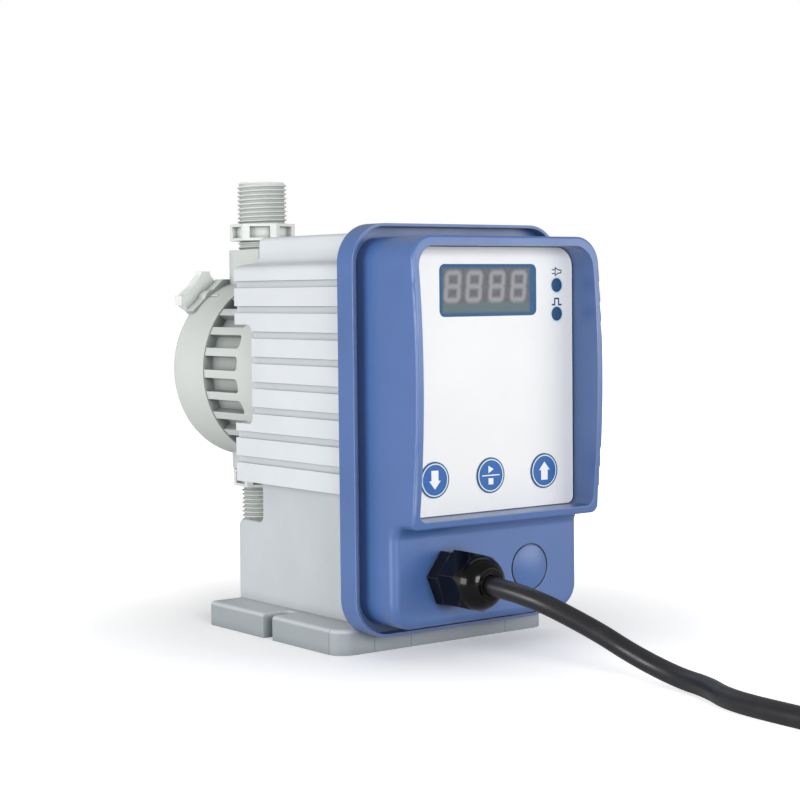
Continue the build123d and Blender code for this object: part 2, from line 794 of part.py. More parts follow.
def boss_outline(inset=0.0):
    """Plan of a port boss: flat front, half-round rear."""
    half = boss_half_width - inset
    depth = valve_y - head_front_y
    block = Pos(0, head_front_y + depth / 2) * Rectangle(2 * half, depth)
    rear_half = Pos(0, valve_y + half / 2) * Rectangle(2 * half, half)
    return block + (Pos(0, valve_y) * Circle(half) & rear_half)


def bleed_lug():
    """Seat of the bleed screw and the web that joins it to the head and the upper port boss."""
    middle = (0, axis_z)
    top = (0, bleed_web_inner[1])
    web = make_face(Polyline(middle, bleed_web_outer, bleed_web_inner, top, middle))
    front_y = head_rear_y - bleed_lug_length
    seat = disc_y(bleed_lug_radius, front_y, head_rear_y, bleed_x, bleed_z)
    return along_y(web, front_y, head_rear_y) + seat


def make_pump_head():
    head = disc_y(head_radius, head_front_y, head_rear_y)
    head = fillet(head.edges().group_by(Axis.Y)[-1], head_edge_radius)
    head += bleed_lug()
    head += along_z(boss_outline(), boss_bottom_z, boss_top_z)
    overhang = Pos(0, head_front_y - boss_overhang / 2) * Rectangle(2 * boss_half_width, boss_overhang)
    overhang = along_z(overhang, boss_bottom_z, boss_top_z)
    head += overhang - disc_y(lantern_radius + 2 * fit_gap, lantern_front_y, head_front_y)
    head -= disc_y(clamp_radius + fit_gap, head_front_y - 1, head_front_y + diaphragm_thickness)
    head -= disc_y(chamber_radius, head_front_y, head_front_y + diaphragm_thickness + chamber_depth)
    head -= disc_z(stem_radius + 0.1, boss_top_z - stem_length, boss_top_z + 1)
    head -= disc_z(nose_stem_radius + 0.1, discharge_seat_z, boss_top_z)
    head -= disc_z(stem_radius + 0.1, boss_bottom_z - 1, boss_bottom_z + stem_length)
    head -= disc_z(nose_stem_radius + 0.1, boss_bottom_z, suction_top_z)
    passage_radius = 3.0
    for z, sign in ((axis_z + 14, 1), (axis_z - 14, -1)):
        reach = discharge_seat_z if sign > 0 else suction_top_z
        low, high = sorted((z, reach))
        head -= disc_z(passage_radius, low, high)
        head -= disc_y(passage_radius - 0.2, head_front_y + 1, valve_y, 0, z)
    for x, z in circle_places(head_screw_circle, head_screw_angles):
        head -= disc_y(screw_radius + screw_gap, head_front_y - 1, head_rear_y + 1, x, z)
        head -= disc_y(screw_head_radius + fit_gap, head_screw_seat_y, head_rear_y + 1, x, z)
    head -= disc_y(
        bleed_stem_radius + fit_gap, head_rear_y - bleed_stem_length - 0.5, head_rear_y + 1, bleed_x, bleed_z
    )
    return head


def make_diaphragm():
    """Elastomer disc: clamped rim bead, thin web and a boss that takes the shaft end."""
    rim = ring_y(clamp_radius, chamber_radius, head_front_y, head_front_y + diaphragm_thickness)
    web = disc_y(chamber_radius, head_front_y, head_front_y + diaphragm_web)
    boss = disc_y(diaphragm_boss_radius, backing_front_y - 3, head_front_y + diaphragm_web)
    pocket = disc_y(shaft_radius + fit_gap, backing_front_y - 4, backing_rear_y)
    return rim + web + boss - pocket


def make_backing_disc():
    ring = ring_y(
        backing_radius, diaphragm_boss_radius + fit_gap, backing_front_y, head_front_y - seat_gap
    )
    return ring


# ---------------------------------------------------------------- valves
discharge_seat_z = boss_top_z - stem_length - nose_stem_length - seat_ring_thickness
suction_top_z = boss_bottom_z + suction_standoff + stem_length - 1.0 + nose_stem_length + 3.0


def port_thread(low_z, high_z, chamfer_top):
    body = disc_z(port_thread_radius, low_z, high_z)
    end = body.edges().group_by(Axis.Z)[-1 if chamfer_top else 0]
    return chamfer(end, port_chamfer)


def port_hex(low_z):
    """Moulded hexagon with a cored pocket in each flat."""
    body = along_z(Pos(0, valve_y) * hexagon(port_hex_across, port_hex_turn), low_z, low_z + port_hex_height)
    for k in range(6):
        angle = port_hex_turn + 30 + 60 * k
        pocket = Box(2 * hex_pocket_depth, hex_pocket_width, port_hex_height - 2 * hex_pocket_top)
        body -= (
            Pos(0, valve_y, low_z + port_hex_height / 2)
            * Rot(0, 0, angle)
            * Pos(port_hex_across / 2, 0, 0)
            * pocket
        )
    return body


def make_discharge_valve():
    hex_low = boss_top_z + discharge_standoff
    top = hex_low + port_hex_height + port_thread_length
    nose_bottom = discharge_seat_z + seat_ring_thickness
    body = port_hex(hex_low)
    body += port_thread(hex_low + port_hex_height - 0.01, top, True)
    body += disc_z(stem_radius, boss_top_z - stem_length + seat_gap, hex_low)
    body += disc_z(nose_stem_radius, nose_bottom, hex_low)
    cage_top = nose_bottom + discharge_ball_rise + ball_radius + ball_lift + 0.1
    body -= disc_z(ball_cage_radius, nose_bottom - 1, cage_top)
    body -= disc_z(ball_stop_radius, nose_bottom, top)
    body -= disc_z(port_bore_radius, cage_top + 4, top + 1)
    return body


discharge_ball_rise = sqrt(ball_radius**2 - seat_bore_radius**2) + 0.03


def make_suction_valve():
    hex_high = boss_bottom_z - suction_standoff
    hex_low = hex_high - port_hex_height
    bottom = hex_low - port_thread_length
    body = port_hex(hex_low)
    body += port_thread(bottom, hex_low + 0.01, False)
    body += disc_z(stem_radius, hex_high, boss_bottom_z + stem_length - seat_gap)
    body += disc_z(nose_stem_radius, hex_high, suction_seat_z)
    body -= disc_z(port_bore_radius, bottom - 1, hex_high)
    body -= disc_z(seat_bore_radius + 1.5, hex_high - 1, suction_seat_z + 1)
    return body


suction_seat_z = boss_bottom_z + stem_length + 1.5


def make_discharge_seat():
    low = discharge_seat_z
    return disc_z(nose_stem_radius, low, low + seat_ring_thickness) - disc_z(
        seat_bore_radius, low - 1, low + seat_ring_thickness + 1
    )


def make_suction_seat():
    low = suction_seat_z
    return disc_z(nose_stem_radius, low, low + seat_ring_thickness) - disc_z(
        seat_bore_radius, low - 1, low + seat_ring_thickness + 1
    )


def make_suction_cage():
    low = suction_seat_z + seat_ring_thickness
    return disc_z(nose_stem_radius, low, suction_top_z - 0.1) - disc_z(
        ball_cage_radius, low - 1, suction_top_z + 1
    )


def make_ball(seat_top_z):
    return Pos(0, valve_y, seat_top_z + discharge_ball_rise) * Sphere(ball_radius)


# ---------------------------------------------------------------- bleed screw
def make_bleed_knob():
    hub = Circle(knob_hub_radius)
    for k in range(knob_lobes):
        lobe = Pos(knob_radius / 2, 0) * Rectangle(knob_radius, knob_lobe_width)
        flare = make_face(
            Polyline(
                (knob_hub_radius - 2.5, -knob_lobe_width * knob_flare),
                (knob_radius - 1.2, -knob_lobe_width / 2),
                (knob_radius - 1.2, knob_lobe_width / 2),
                (knob_hub_radius - 2.5, knob_lobe_width * knob_flare),
                (knob_hub_radius - 2.5, -knob_lobe_width * knob_flare),
            )
        )
        hub += Rot(0, 0, k * 360.0 / knob_lobes) * (lobe + flare)
    front_y = head_rear_y + seat_gap
    knob = along_y(Pos(bleed_x, bleed_z) * hub, front_y, front_y + knob_thickness)
    knob = fillet(knob.edges().group_by(Axis.Y)[-1], 0.8)
    stem = disc_y(bleed_stem_radius, head_rear_y - bleed_stem_length, front_y, bleed_x, bleed_z)
    return knob + stem


# ---------------------------------------------------------------- cord
cord_points = [
    (gland_x, gland_end_y + 16.0, gland_z),
    (gland_x, gland_end_y - 14.0, gland_z),
    (-4.3, -132.0, 17.2),
    (2.5, -145.0, 9.0),
    (4.8, -163.6, cord_floor_z),
    (1.6, -180.1, cord_floor_z),
    (-7.6, -197.7, cord_floor_z),
    (coil_centre[0] - coil_outer_turn, -227.9, cord_floor_z),
    (coil_centre[0] - coil_outer_turn, coil_centre[1], cord_floor_z),
]
tail_points = [
    (coil_centre[0] - coil_outer_turn, coil_centre[1], 17.9),
    (coil_centre[0] - coil_outer_turn, coil_centre[1] - 14.0, 17.9),
    (coil_centre[0] - coil_outer_turn, coil_centre[1] - 29.0, 14.4),
    (coil_centre[0] - coil_outer_turn, coil_centre[1] - 43.0, 14.4),
]


def bend_radii(points):
    """Radius of the arc at each inner point: 0.45 of the shorter run over tan(half the turn)."""
    radii = []
    for before, here, after in zip(points, points[1:], points[2:]):
        first = Vector(*here) - Vector(*before)
        second = Vector(*after) - Vector(*here)
        turn = radians(first.get_angle(second))
        radii.append(0.45 * min(first.length, second.length) / tan(turn / 2))
    return radii


def cord_tube(points):
    path = FilletPolyline(*points, radius=bend_radii(points))
    section = Plane(path @ 0, z_dir=path % 0) * Circle(cord_radius)
    return sweep(section, path), path.length


def make_coil(neighbours):
    """Outer shape of the wound cord: two turns wide below, one turn wide on the top layer."""
    half = cord_radius + 0.2
    low = cord_floor_z - half
    layer = cord_diameter
    outline = Polyline(
        (coil_inner_turn - half, low),
        (coil_outer_turn + half, low),
        (coil_outer_turn + half, low + coil_layers * layer + 0.2),
        (coil_outer_turn - half, low + coil_layers * layer + 0.2),
        (coil_outer_turn - half, low + 2 * layer),
        (coil_inner_turn - half, low + 2 * layer),
        (coil_inner_turn - half, low),
    )
    ring = revolve(Plane.XZ * make_face(outline), Axis.Z)
    ring = Pos(coil_centre[0], coil_centre[1], 0) * ring
    for piece in neighbours:
        ring -= piece
    return max(ring.solids(), key=lambda s: s.volume)


def make_plug():
    """Straight two-pin mains plug lying beside the coil: tapered neck, flattened body."""
    x, y, z = tail_points[-1]
    axis_height = plug_flat + 0.4
    body = Cylinder(plug_body_radius, plug_body_length)
    body &= Box(2 * plug_body_radius, 2 * plug_flat, plug_body_length)
    body = fillet(body.edges().filter_by(GeomType.CIRCLE), 1.5)
    neck_end = Plane((x, y - plug_neck_length, axis_height), x_dir=(1, 0, 0), z_dir=(0, -1, 0))
    start = Plane((x, y, z), x_dir=(1, 0, 0), z_dir=(0, -1, 0))
    neck = loft([start * Circle(cord_radius + 1.5), neck_end * Circle(plug_flat - 1.0)])
    placed = neck_end.location * Pos(0, 0, plug_body_length / 2) * body
    return neck + placed


def make_plug_pins():
    x, y, _ = tail_points[-1]
    axis_height = plug_flat + 0.4
    face_y = y - plug_neck_length - plug_body_length
    return [
        disc_y(plug_pin_radius, face_y - plug_pin_length, face_y, x + offset, axis_height)
        for offset in (-plug_pin_spacing / 2, plug_pin_spacing / 2)
    ]


# ---------------------------------------------------------------- screws
def make_head_screws():
    return [
        screw_y(x, z, head_screw_seat_y, head_screw_length)
        for x, z in circle_places(head_screw_circle, head_screw_angles)
    ]


def make_cover_screws():
    seat_y = housing_rear_y - screw_head_height - 0.5
    length = seat_y - board_back_y - 4.0
    return [screw_y(x, z, seat_y, length) for x, z in post_places]


def make_lantern_screws():
    """Flat-head screws from inside the housing wall into the lantern."""
    return [
        disc_y(screw_head_radius, wall_front_y, wall_front_y + lantern_head_height, x, z)
        + disc_y(screw_radius, wall_front_y, wall_front_y + lantern_screw_length, x, z)
        for x, z in circle_places(lantern_screw_circle, (0, 90, 180, 270))
    ]


def make_base_screws():
    """Screws from inside the pedestal up into the housing floor."""
    seat_z = pedestal_top_z - pedestal_wall
    return [
        disc_z(screw_head_radius, seat_z - 2.6, seat_z, x, y)
        + disc_z(screw_radius, seat_z, pedestal_top_z + 4.2, x, y)
        for x, y in base_screw_places
    ]


# ---------------------------------------------------------------- build and write
def write(name, shapes):
    solids = [s for shape in shapes for s in shape.solids()]
    export_step(Compound(children=solids) if len(solids) > 1 else solids[0], f"parts/{name}.step")


def main():
    cord, cord_length = cord_tube(cord_points)
    tail, tail_length = cord_tube(tail_points)
    print("bend radii", [round(r, 1) for r in bend_radii(cord_points)])
    print("cord", round(cord_length, 1), "ratio", round(cord.volume / (pi * cord_radius**2 * cord_length), 4))
    turns = 2 * pi * (3 * coil_outer_turn + 2 * coil_inner_turn)
    print("whole cord", round(cord_length + turns + tail_length, 1))
    nodes = {
        "base": [make_base()],
        "housing": [make_housing()],
        "cover_gasket": [make_gasket()],
        "front_cover": [make_front_cover()],
        "label_panel": [make_label()],
        "display_window": [make_display_window()],
        "status_leds": make_status_leds(),
        "key_down": [make_key(key_places[0])],
        "key_start_stop": [make_key(key_places[1])],
        "key_up": [make_key(key_places[2])],
        "circuit_board": [make_circuit_board()],
        "display_module": [make_display_module()],
        "key_switches": make_key_switches(),
        "blanking_plug": [make_blanking_plug()],
        "gland_body": [make_gland_body()],
        "gland_seal": [make_gland_seal()],
        "gland_locknut": [make_gland_locknut()],
        "gland_nut": [make_gland_nut()],
        "yoke_cup": [make_yoke_cup()],
        "yoke_plate": [make_yoke_plate()],
        "guide_sleeve": [make_guide_sleeve()],
        "coil_bobbin": [make_bobbin()],
        "solenoid_winding": [make_winding()],
        "armature": [make_armature()],
        "plunger_shaft": [make_plunger_shaft()],
        "shaft_bushing": [make_shaft_bushing()],
        "nose_nut": [make_nose_nut()],
        "return_spring": [make_return_spring()],
        "lantern": [make_lantern()],
        "diaphragm": [make_diaphragm()],
        "backing_disc": [make_backing_disc()],
        "pump_head": [make_pump_head()],
        "discharge_valve": [make_discharge_valve()],
        "discharge_seat": [make_discharge_seat()],
        "discharge_ball": [make_ball(discharge_seat_z + seat_ring_thickness)],
        "suction_valve": [make_suction_valve()],
        "suction_seat": [make_suction_seat()],
        "suction_cage": [make_suction_cage()],
        "suction_ball": [make_ball(suction_seat_z + seat_ring_thickness)],
        "bleed_knob": [make_bleed_knob()],
        "head_screws": make_head_screws(),
        "cover_screws": make_cover_screws(),
        "lantern_screws": make_lantern_screws(),
        "base_screws": make_base_screws(),
        "cord": [cord],
        "cord_tail": [tail],
        "cord_coil": [make_coil([cord, tail])],
        "plug": [make_plug()],
        "plug_pins": make_plug_pins(),
    }
    for name, shapes in nodes.items():
        write(name, shapes)
    print(len(nodes), "nodes")


main()
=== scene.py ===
"""Looks of the diaphragm metering pump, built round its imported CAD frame. Units are metres."""
import json
from math import ceil, cos, hypot, pi, radians, sin

import bmesh
import bpy
from mathutils import Matrix, Vector


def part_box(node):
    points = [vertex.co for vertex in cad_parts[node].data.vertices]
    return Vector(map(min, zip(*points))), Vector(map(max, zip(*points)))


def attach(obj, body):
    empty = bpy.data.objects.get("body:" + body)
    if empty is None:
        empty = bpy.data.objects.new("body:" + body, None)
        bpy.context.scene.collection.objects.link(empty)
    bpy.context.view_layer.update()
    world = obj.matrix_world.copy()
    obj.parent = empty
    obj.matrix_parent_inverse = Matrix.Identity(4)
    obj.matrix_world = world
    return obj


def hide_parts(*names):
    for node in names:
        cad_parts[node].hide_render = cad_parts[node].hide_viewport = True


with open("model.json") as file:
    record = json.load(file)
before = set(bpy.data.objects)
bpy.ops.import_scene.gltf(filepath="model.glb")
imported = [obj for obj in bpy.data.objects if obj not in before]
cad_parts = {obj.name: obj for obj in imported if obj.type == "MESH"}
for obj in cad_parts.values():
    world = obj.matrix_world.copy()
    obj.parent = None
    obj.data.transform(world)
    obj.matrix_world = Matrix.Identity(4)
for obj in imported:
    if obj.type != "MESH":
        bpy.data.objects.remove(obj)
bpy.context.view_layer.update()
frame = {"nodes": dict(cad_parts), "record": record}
MM = 0.001
NODES = frame["nodes"]

# ---------------------------------------------------------------- camera
CAMERA_PLACE = Vector((-438.03, -597.39, 132.58)) * MM
CAMERA_RIGHT = Vector((0.79671324, -0.6042687, -0.01036119))
CAMERA_UP = Vector((0.04345858, 0.04018246, 0.99824682))
CAMERA_VIEW = Vector((0.60279297, 0.79576674, -0.05827456))
LENS_MM = 84.42
SENSOR_MM = 36.0


def make_camera():
    data = bpy.data.cameras.new("camera")
    data.lens = LENS_MM
    data.sensor_width = SENSOR_MM
    data.sensor_fit = "HORIZONTAL"
    camera = bpy.data.objects.new("camera", data)
    bpy.context.scene.collection.objects.link(camera)
    turn = Matrix((CAMERA_RIGHT, CAMERA_UP, -CAMERA_VIEW)).transposed()
    camera.matrix_world = Matrix.Translation(CAMERA_PLACE) @ turn.to_4x4()
    bpy.context.scene.camera = camera


make_camera()


# ---------------------------------------------------------------- shader helpers
NOISE_RANGE = (0.3, 0.7)       # where nearly all of a noise node's values lie
SEAM_WIDTH = 0.16 * MM
SEAM_CORE = 0.4                # share of the seam that is fully dark
HOLLOW_FROM, HOLLOW_TO = 0.42, 0.9     # share of open sky where the painted shade in hollows is full and where it is gone: deep in a groove and on an open face
UPRIGHT_Z, SLOPING_Z = 0.1, 0.6        # upward part of the normal, where the painted shade on low upright faces is full and where it is gone
SKIRT_FADE = 1.5 * MM
EDGE_BEND = 0.86               # cosine between face and rounded normal where an edge is fully paled, by wear and by painted highlight


def linear(r, g, b):
    """Screen colour, 0 to 255, as the linear values that sockets take."""
    def channel(c):
        c /= 255
        return c / 12.92 if c <= 0.04045 else ((c + 0.055) / 1.055) ** 2.4
    return (channel(r), channel(g), channel(b), 1.0)


class Shader:
    """Small helper that adds nodes to one material and links them."""

    def __init__(self, name):
        self.material = bpy.data.materials.new(name)
        self.material.use_nodes = True
        self.tree = self.material.node_tree
        self.bsdf = self.tree.nodes["Principled BSDF"]
        self.place = self.add("ShaderNodeTexCoord").outputs["Object"]

    def add(self, kind, **values):
        node = self.tree.nodes.new(kind)
        for key, value in values.items():
            setattr(node, key, value)
        return node

    def link(self, a, b):
        self.tree.links.new(a, b)

    def set(self, **values):
        for key, value in values.items():
            self.bsdf.inputs[key.replace("_", " ")].default_value = value

    def noise(self, scale, detail=3.0, roughness=0.55, stretch=None):
        node = self.add("ShaderNodeTexNoise")
        node.inputs["Scale"].default_value = scale
        node.inputs["Detail"].default_value = detail
        node.inputs["Roughness"].default_value = roughness
        source = self.place
        if stretch:
            mapping = self.add("ShaderNodeMapping")
            mapping.inputs["Scale"].default_value = stretch
            self.link(self.place, mapping.inputs["Vector"])
            source = mapping.outputs["Vector"]
        self.link(source, node.inputs["Vector"])
        return node.outputs["Fac"]

    def spread(self, value, low, high, to_low, to_high):
        node = self.add("ShaderNodeMapRange")
        limits = {"From Min": low, "From Max": high, "To Min": to_low, "To Max": to_high}
        for socket, number in limits.items():
            node.inputs[socket].default_value = number
        self.link(value, node.inputs["Value"])
        return node.outputs["Result"]

    def mix(self, factor, a, b, blend="MIX"):
        node = self.add("ShaderNodeMix", data_type="RGBA", blend_type=blend)
        if hasattr(factor, "links"):
            self.link(factor, node.inputs["Factor"])
        else:
            node.inputs["Factor"].default_value = factor
        for socket, value in ((node.inputs[6], a), (node.inputs[7], b)):
            if hasattr(value, "links"):
                self.link(value, socket)
            else:
                socket.default_value = value
        return node.outputs[2]

    def math(self, operation, a, b=0.0):
        node = self.add("ShaderNodeMath", operation=operation)
        for socket, value in zip(node.inputs, (a, b)):
            if hasattr(value, "links"):
                self.link(value, socket)
            else:
                socket.default_value = value
        return node.outputs[0]

    def rough(self, noise, low, high):
        """Roughness that wanders between two values."""
        self.link(self.spread(noise, *NOISE_RANGE, low, high), self.bsdf.inputs["Roughness"])

    def bump(self, height, strength, distance, normal=None):
        node = self.add("ShaderNodeBump")
        node.inputs["Strength"].default_value = strength
        node.inputs["Distance"].default_value = distance
        self.link(height, node.inputs["Height"])
        if normal is not None:
            self.link(normal, node.inputs["Normal"])
        return node.outputs["Normal"]

    def seam(self, axis, value, limit_axis, low, high):
        """1 on a thin mould line at one coordinate, kept between two values of another one."""
        split = self.add("ShaderNodeSeparateXYZ")
        self.link(self.place, split.inputs[0])
        here = split.outputs["XYZ".index(axis)]
        other = split.outputs["XYZ".index(limit_axis)]
        off = self.math("ABSOLUTE", self.math("SUBTRACT", here, value))
        line = self.spread(off, SEAM_WIDTH * SEAM_CORE, SEAM_WIDTH, 1.0, 0.0)
        above = self.math("GREATER_THAN", other, low)
        below = self.math("LESS_THAN", other, high)
        return self.math("MULTIPLY", line, self.math("MULTIPLY", above, below))

    def hollow_shade_amount(self, reach):
        """Painted shade mask: 1 deep in a groove or pocket, 0 on open faces."""
        node = self.add("ShaderNodeAmbientOcclusion", samples=8)
        node.inputs["Distance"].default_value = reach
        return self.spread(node.outputs["AO"], HOLLOW_FROM, HOLLOW_TO, 1.0, 0.0)

    def skirt_shade_amount(self, top):
        """Painted shade mask: 1 on upright faces below the given height, 0 on level faces and above it.
        """
        geometry = self.add("ShaderNodeNewGeometry")
        split = self.add("ShaderNodeSeparateXYZ")
        self.link(geometry.outputs["Normal"], split.inputs[0])
        place = self.add("ShaderNodeSeparateXYZ")
        self.link(self.place, place.inputs[0])
        upright = self.spread(split.outputs["Z"], UPRIGHT_Z, SLOPING_Z, 1.0, 0.0)
        below = self.spread(place.outputs["Z"], top - SKIRT_FADE, top, 1.0, 0.0)
        return self.math("MULTIPLY", upright, below)

    def soft_edge(self, radius):
        """Normal that rounds sharp edges over the given radius."""
        node = self.add("ShaderNodeBevel", samples=6)
        node.inputs["Radius"].default_value = radius
        return node.outputs["Normal"]

    def edge_amount(self, soft_normal):
        """Pale edge mask, part wear and part painted highlight: 1 on a sharp edge, 0 on open faces."""
        geometry = self.add("ShaderNodeNewGeometry")
        dot = self.add("ShaderNodeVectorMath", operation="DOT_PRODUCT")
        self.link(soft_normal, dot.inputs[0])
        self.link(geometry.outputs["Normal"], dot.inputs[1])
        return self.spread(dot.outputs["Value"], 1.0, EDGE_BEND, 0.0, 1.0)


# Noise scales: features per metre
CLOUD_SCALE, SCUFF_SCALE, POLISH_SCALE = 38.0, 60.0, 70.0
DUST_SCALE, SKIN_SCALE, SKIN_POLISH_SCALE = 180.0, 1800.0, 120.0
METAL_POLISH_SCALE = 150.0
INK_SCALE, INK_GRAIN_SCALE, INK_POLISH_SCALE = 1500.0, 2500.0, 90.0
# Part of a noise's values that makes the change
CLOUD_RANGE, SCUFF_RANGE, DUST_RANGE = (0.35, 0.65), (0.4, 0.65), (0.52, 0.75)
LEAST_SCUFF = 0.7              # share of the pale edge, wear and painted highlight, where there are fewest scuffs
DUST_LIGHT = 0.12              # added to a rubber's colour by dust
METAL_DARK, INK_DARK = 0.85, 0.93      # darkest share of a metal's and an ink's colour
SEAM_TONE = 0.35               # brightness of a mould line beside its plastic
GRAIN_DEPTH, SKIN_DEPTH, TOOL_MARK_DEPTH, INK_DEPTH = 0.12 * MM, 0.1 * MM, 0.05 * MM, 0.05 * MM
RUBBER_EDGE, METAL_EDGE = 0.3 * MM, 0.25 * MM
RECESS_SHADE = (0.36, 0.38, 0.39, 1.0)


def shaded(colour, factor):
    """The colour times a factor, never over white."""
    return tuple(min(1.0, c * factor) for c in colour[:3]) + (1.0,)


def moulded(name, colour, roughness=0.45, grain=0.18, mottle=0.05, rub=0.25, edge=0.4 * MM,
            specular=0.5, grain_scale=2600.0, coat=0.0, coat_roughness=0.2, hollow_shade=0.0,
            reach=7.0 * MM, seams=(), skirt_shade=None):
    """Injection-moulded plastic: fine eroded grain, slight clouding, polished edges made paler partly
    by wear and partly as painted highlight, and where asked painted shade in hollows and on low upright
    faces.
    """
    s = Shader(name)
    clouds = s.spread(s.noise(CLOUD_SCALE, 4.0), *CLOUD_RANGE, 0.0, 1.0)
    base = s.mix(clouds, shaded(colour, 1 - mottle), shaded(colour, 1 + mottle))
    soft = s.soft_edge(edge)
    # Paler edges: partly wear, partly painted highlight
    worn_and_highlit = tuple(c + (1 - c) * rub for c in colour[:3]) + (1.0,)
    scuffs = s.spread(s.noise(SCUFF_SCALE, 4.0, 0.6), *SCUFF_RANGE, LEAST_SCUFF, 1.0)
    base = s.mix(s.math("MULTIPLY", s.edge_amount(soft), scuffs), base, worn_and_highlit)
    for axis, value, limit_axis, low, high in seams:
        base = s.mix(s.seam(axis, value, limit_axis, low, high), base, shaded(colour, SEAM_TONE))
    # Painted shade: the colour is darkened deep in grooves and pockets
    if hollow_shade:
        amount = s.math("MULTIPLY", s.hollow_shade_amount(reach), hollow_shade)
        base = s.mix(amount, base, RECESS_SHADE, "MULTIPLY")
    # Painted shade on upright faces low down, such as the foot's sides and front
    if skirt_shade:
        top, skirt_shade_colour = skirt_shade
        base = s.mix(s.skirt_shade_amount(top), base, skirt_shade_colour, "MULTIPLY")
    s.link(base, s.bsdf.inputs["Base Color"])
    grained = s.bump(s.noise(grain_scale, 2.0, 0.5), grain, GRAIN_DEPTH, soft)
    s.link(grained, s.bsdf.inputs["Normal"])
    s.rough(s.noise(POLISH_SCALE), roughness - 0.05, roughness + 0.06)
    s.set(Specular_IOR_Level=specular, Coat_Weight=coat, Coat_Roughness=coat_roughness)
    return s.material


def rubber(name, colour, roughness=0.55, grain=0.3, dust=0.12):
    """Dark elastomer with a fine skin and a trace of dust."""
    s = Shader(name)
    dusty = tuple(c + DUST_LIGHT for c in colour[:3]) + (1.0,)
    amount = s.spread(s.noise(DUST_SCALE, 6.0, 0.7), *DUST_RANGE, 0.0, dust)
    s.link(s.mix(amount, colour, dusty), s.bsdf.inputs["Base Color"])
    skin = s.bump(s.noise(SKIN_SCALE), grain, SKIN_DEPTH, s.soft_edge(RUBBER_EDGE))
    s.link(skin, s.bsdf.inputs["Normal"])
    s.rough(s.noise(SKIN_POLISH_SCALE, 4.0), roughness - 0.06, roughness + 0.08)
    return s.material


def metal(name, colour, roughness=0.3, stretch=(1.0, 1.0, 1.0), lines=900.0, depth=0.25):
    """Machined or drawn metal with fine tool marks along one direction."""
    s = Shader(name)
    s.set(Metallic=1.0)
    marks = s.noise(lines, 4.0, 0.6, stretch)
    tone = s.spread(marks, *NOISE_RANGE, 0.0, 1.0)
    s.link(s.mix(tone, shaded(colour, METAL_DARK), colour), s.bsdf.inputs["Base Color"])
    tooled = s.bump(marks, depth, TOOL_MARK_DEPTH, s.soft_edge(METAL_EDGE))
    s.link(tooled, s.bsdf.inputs["Normal"])
    s.rough(s.noise(METAL_POLISH_SCALE), roughness - 0.08, roughness + 0.1)
    return s.material


def printed(name, colour, roughness=0.35):
    """Ink on the front film: faint screen-print texture."""
    s = Shader(name)
    tone = s.spread(s.noise(INK_SCALE, 2.0), *NOISE_RANGE, 0.0, 1.0)
    s.link(s.mix(tone, shaded(colour, INK_DARK), colour), s.bsdf.inputs["Base Color"])
    s.link(s.bump(s.noise(INK_GRAIN_SCALE, 2.0), 0.08, INK_DEPTH), s.bsdf.inputs["Normal"])
    s.rough(s.noise(INK_POLISH_SCALE), roughness - 0.04, roughness + 0.05)
    return s.material


# ---------------------------------------------------------------- materials
HOUSING_GREY = linear(214, 218, 222)
HEAD_GREY = linear(204, 208, 204)
VALVE_GREY = linear(224, 227, 223)
BASE_GREY = linear(193, 198, 201)
COVER_BLUE = linear(70, 104, 162)
LABEL_WHITE = linear(234, 235, 235)
PRINT_BLUE = linear(22, 94, 170)
PRINT_NAVY = linear(42, 78, 116)
PRINT_WHITE = linear(238, 242, 245)
HALO_BLUE = linear(206, 228, 240)
FOOT_SKIRT_SHADE = (9.4 * MM, (0.6, 0.625, 0.63, 1.0))    # top of the foot edge, and the colour of the painted shade on the upright faces below it
FOOT_FRONT_ONLY = (-60 * MM, -46.5 * MM)            # Y of the foot's front face
FOOT_SIDE_ONLY = (-60 * MM, -49.0 * MM)             # X of the foot's left face
# Mould lines of the foot: axis and place, then the second axis and its limits
FOOT_SEAMS = (
    ("X", -33.9 * MM, "Y", *FOOT_FRONT_ONLY),
    ("X", -17.0 * MM, "Y", *FOOT_FRONT_ONLY),
    ("X", 28.7 * MM, "Y", *FOOT_FRONT_ONLY),
    ("Y", -40.6 * MM, "X", *FOOT_SIDE_ONLY),
)
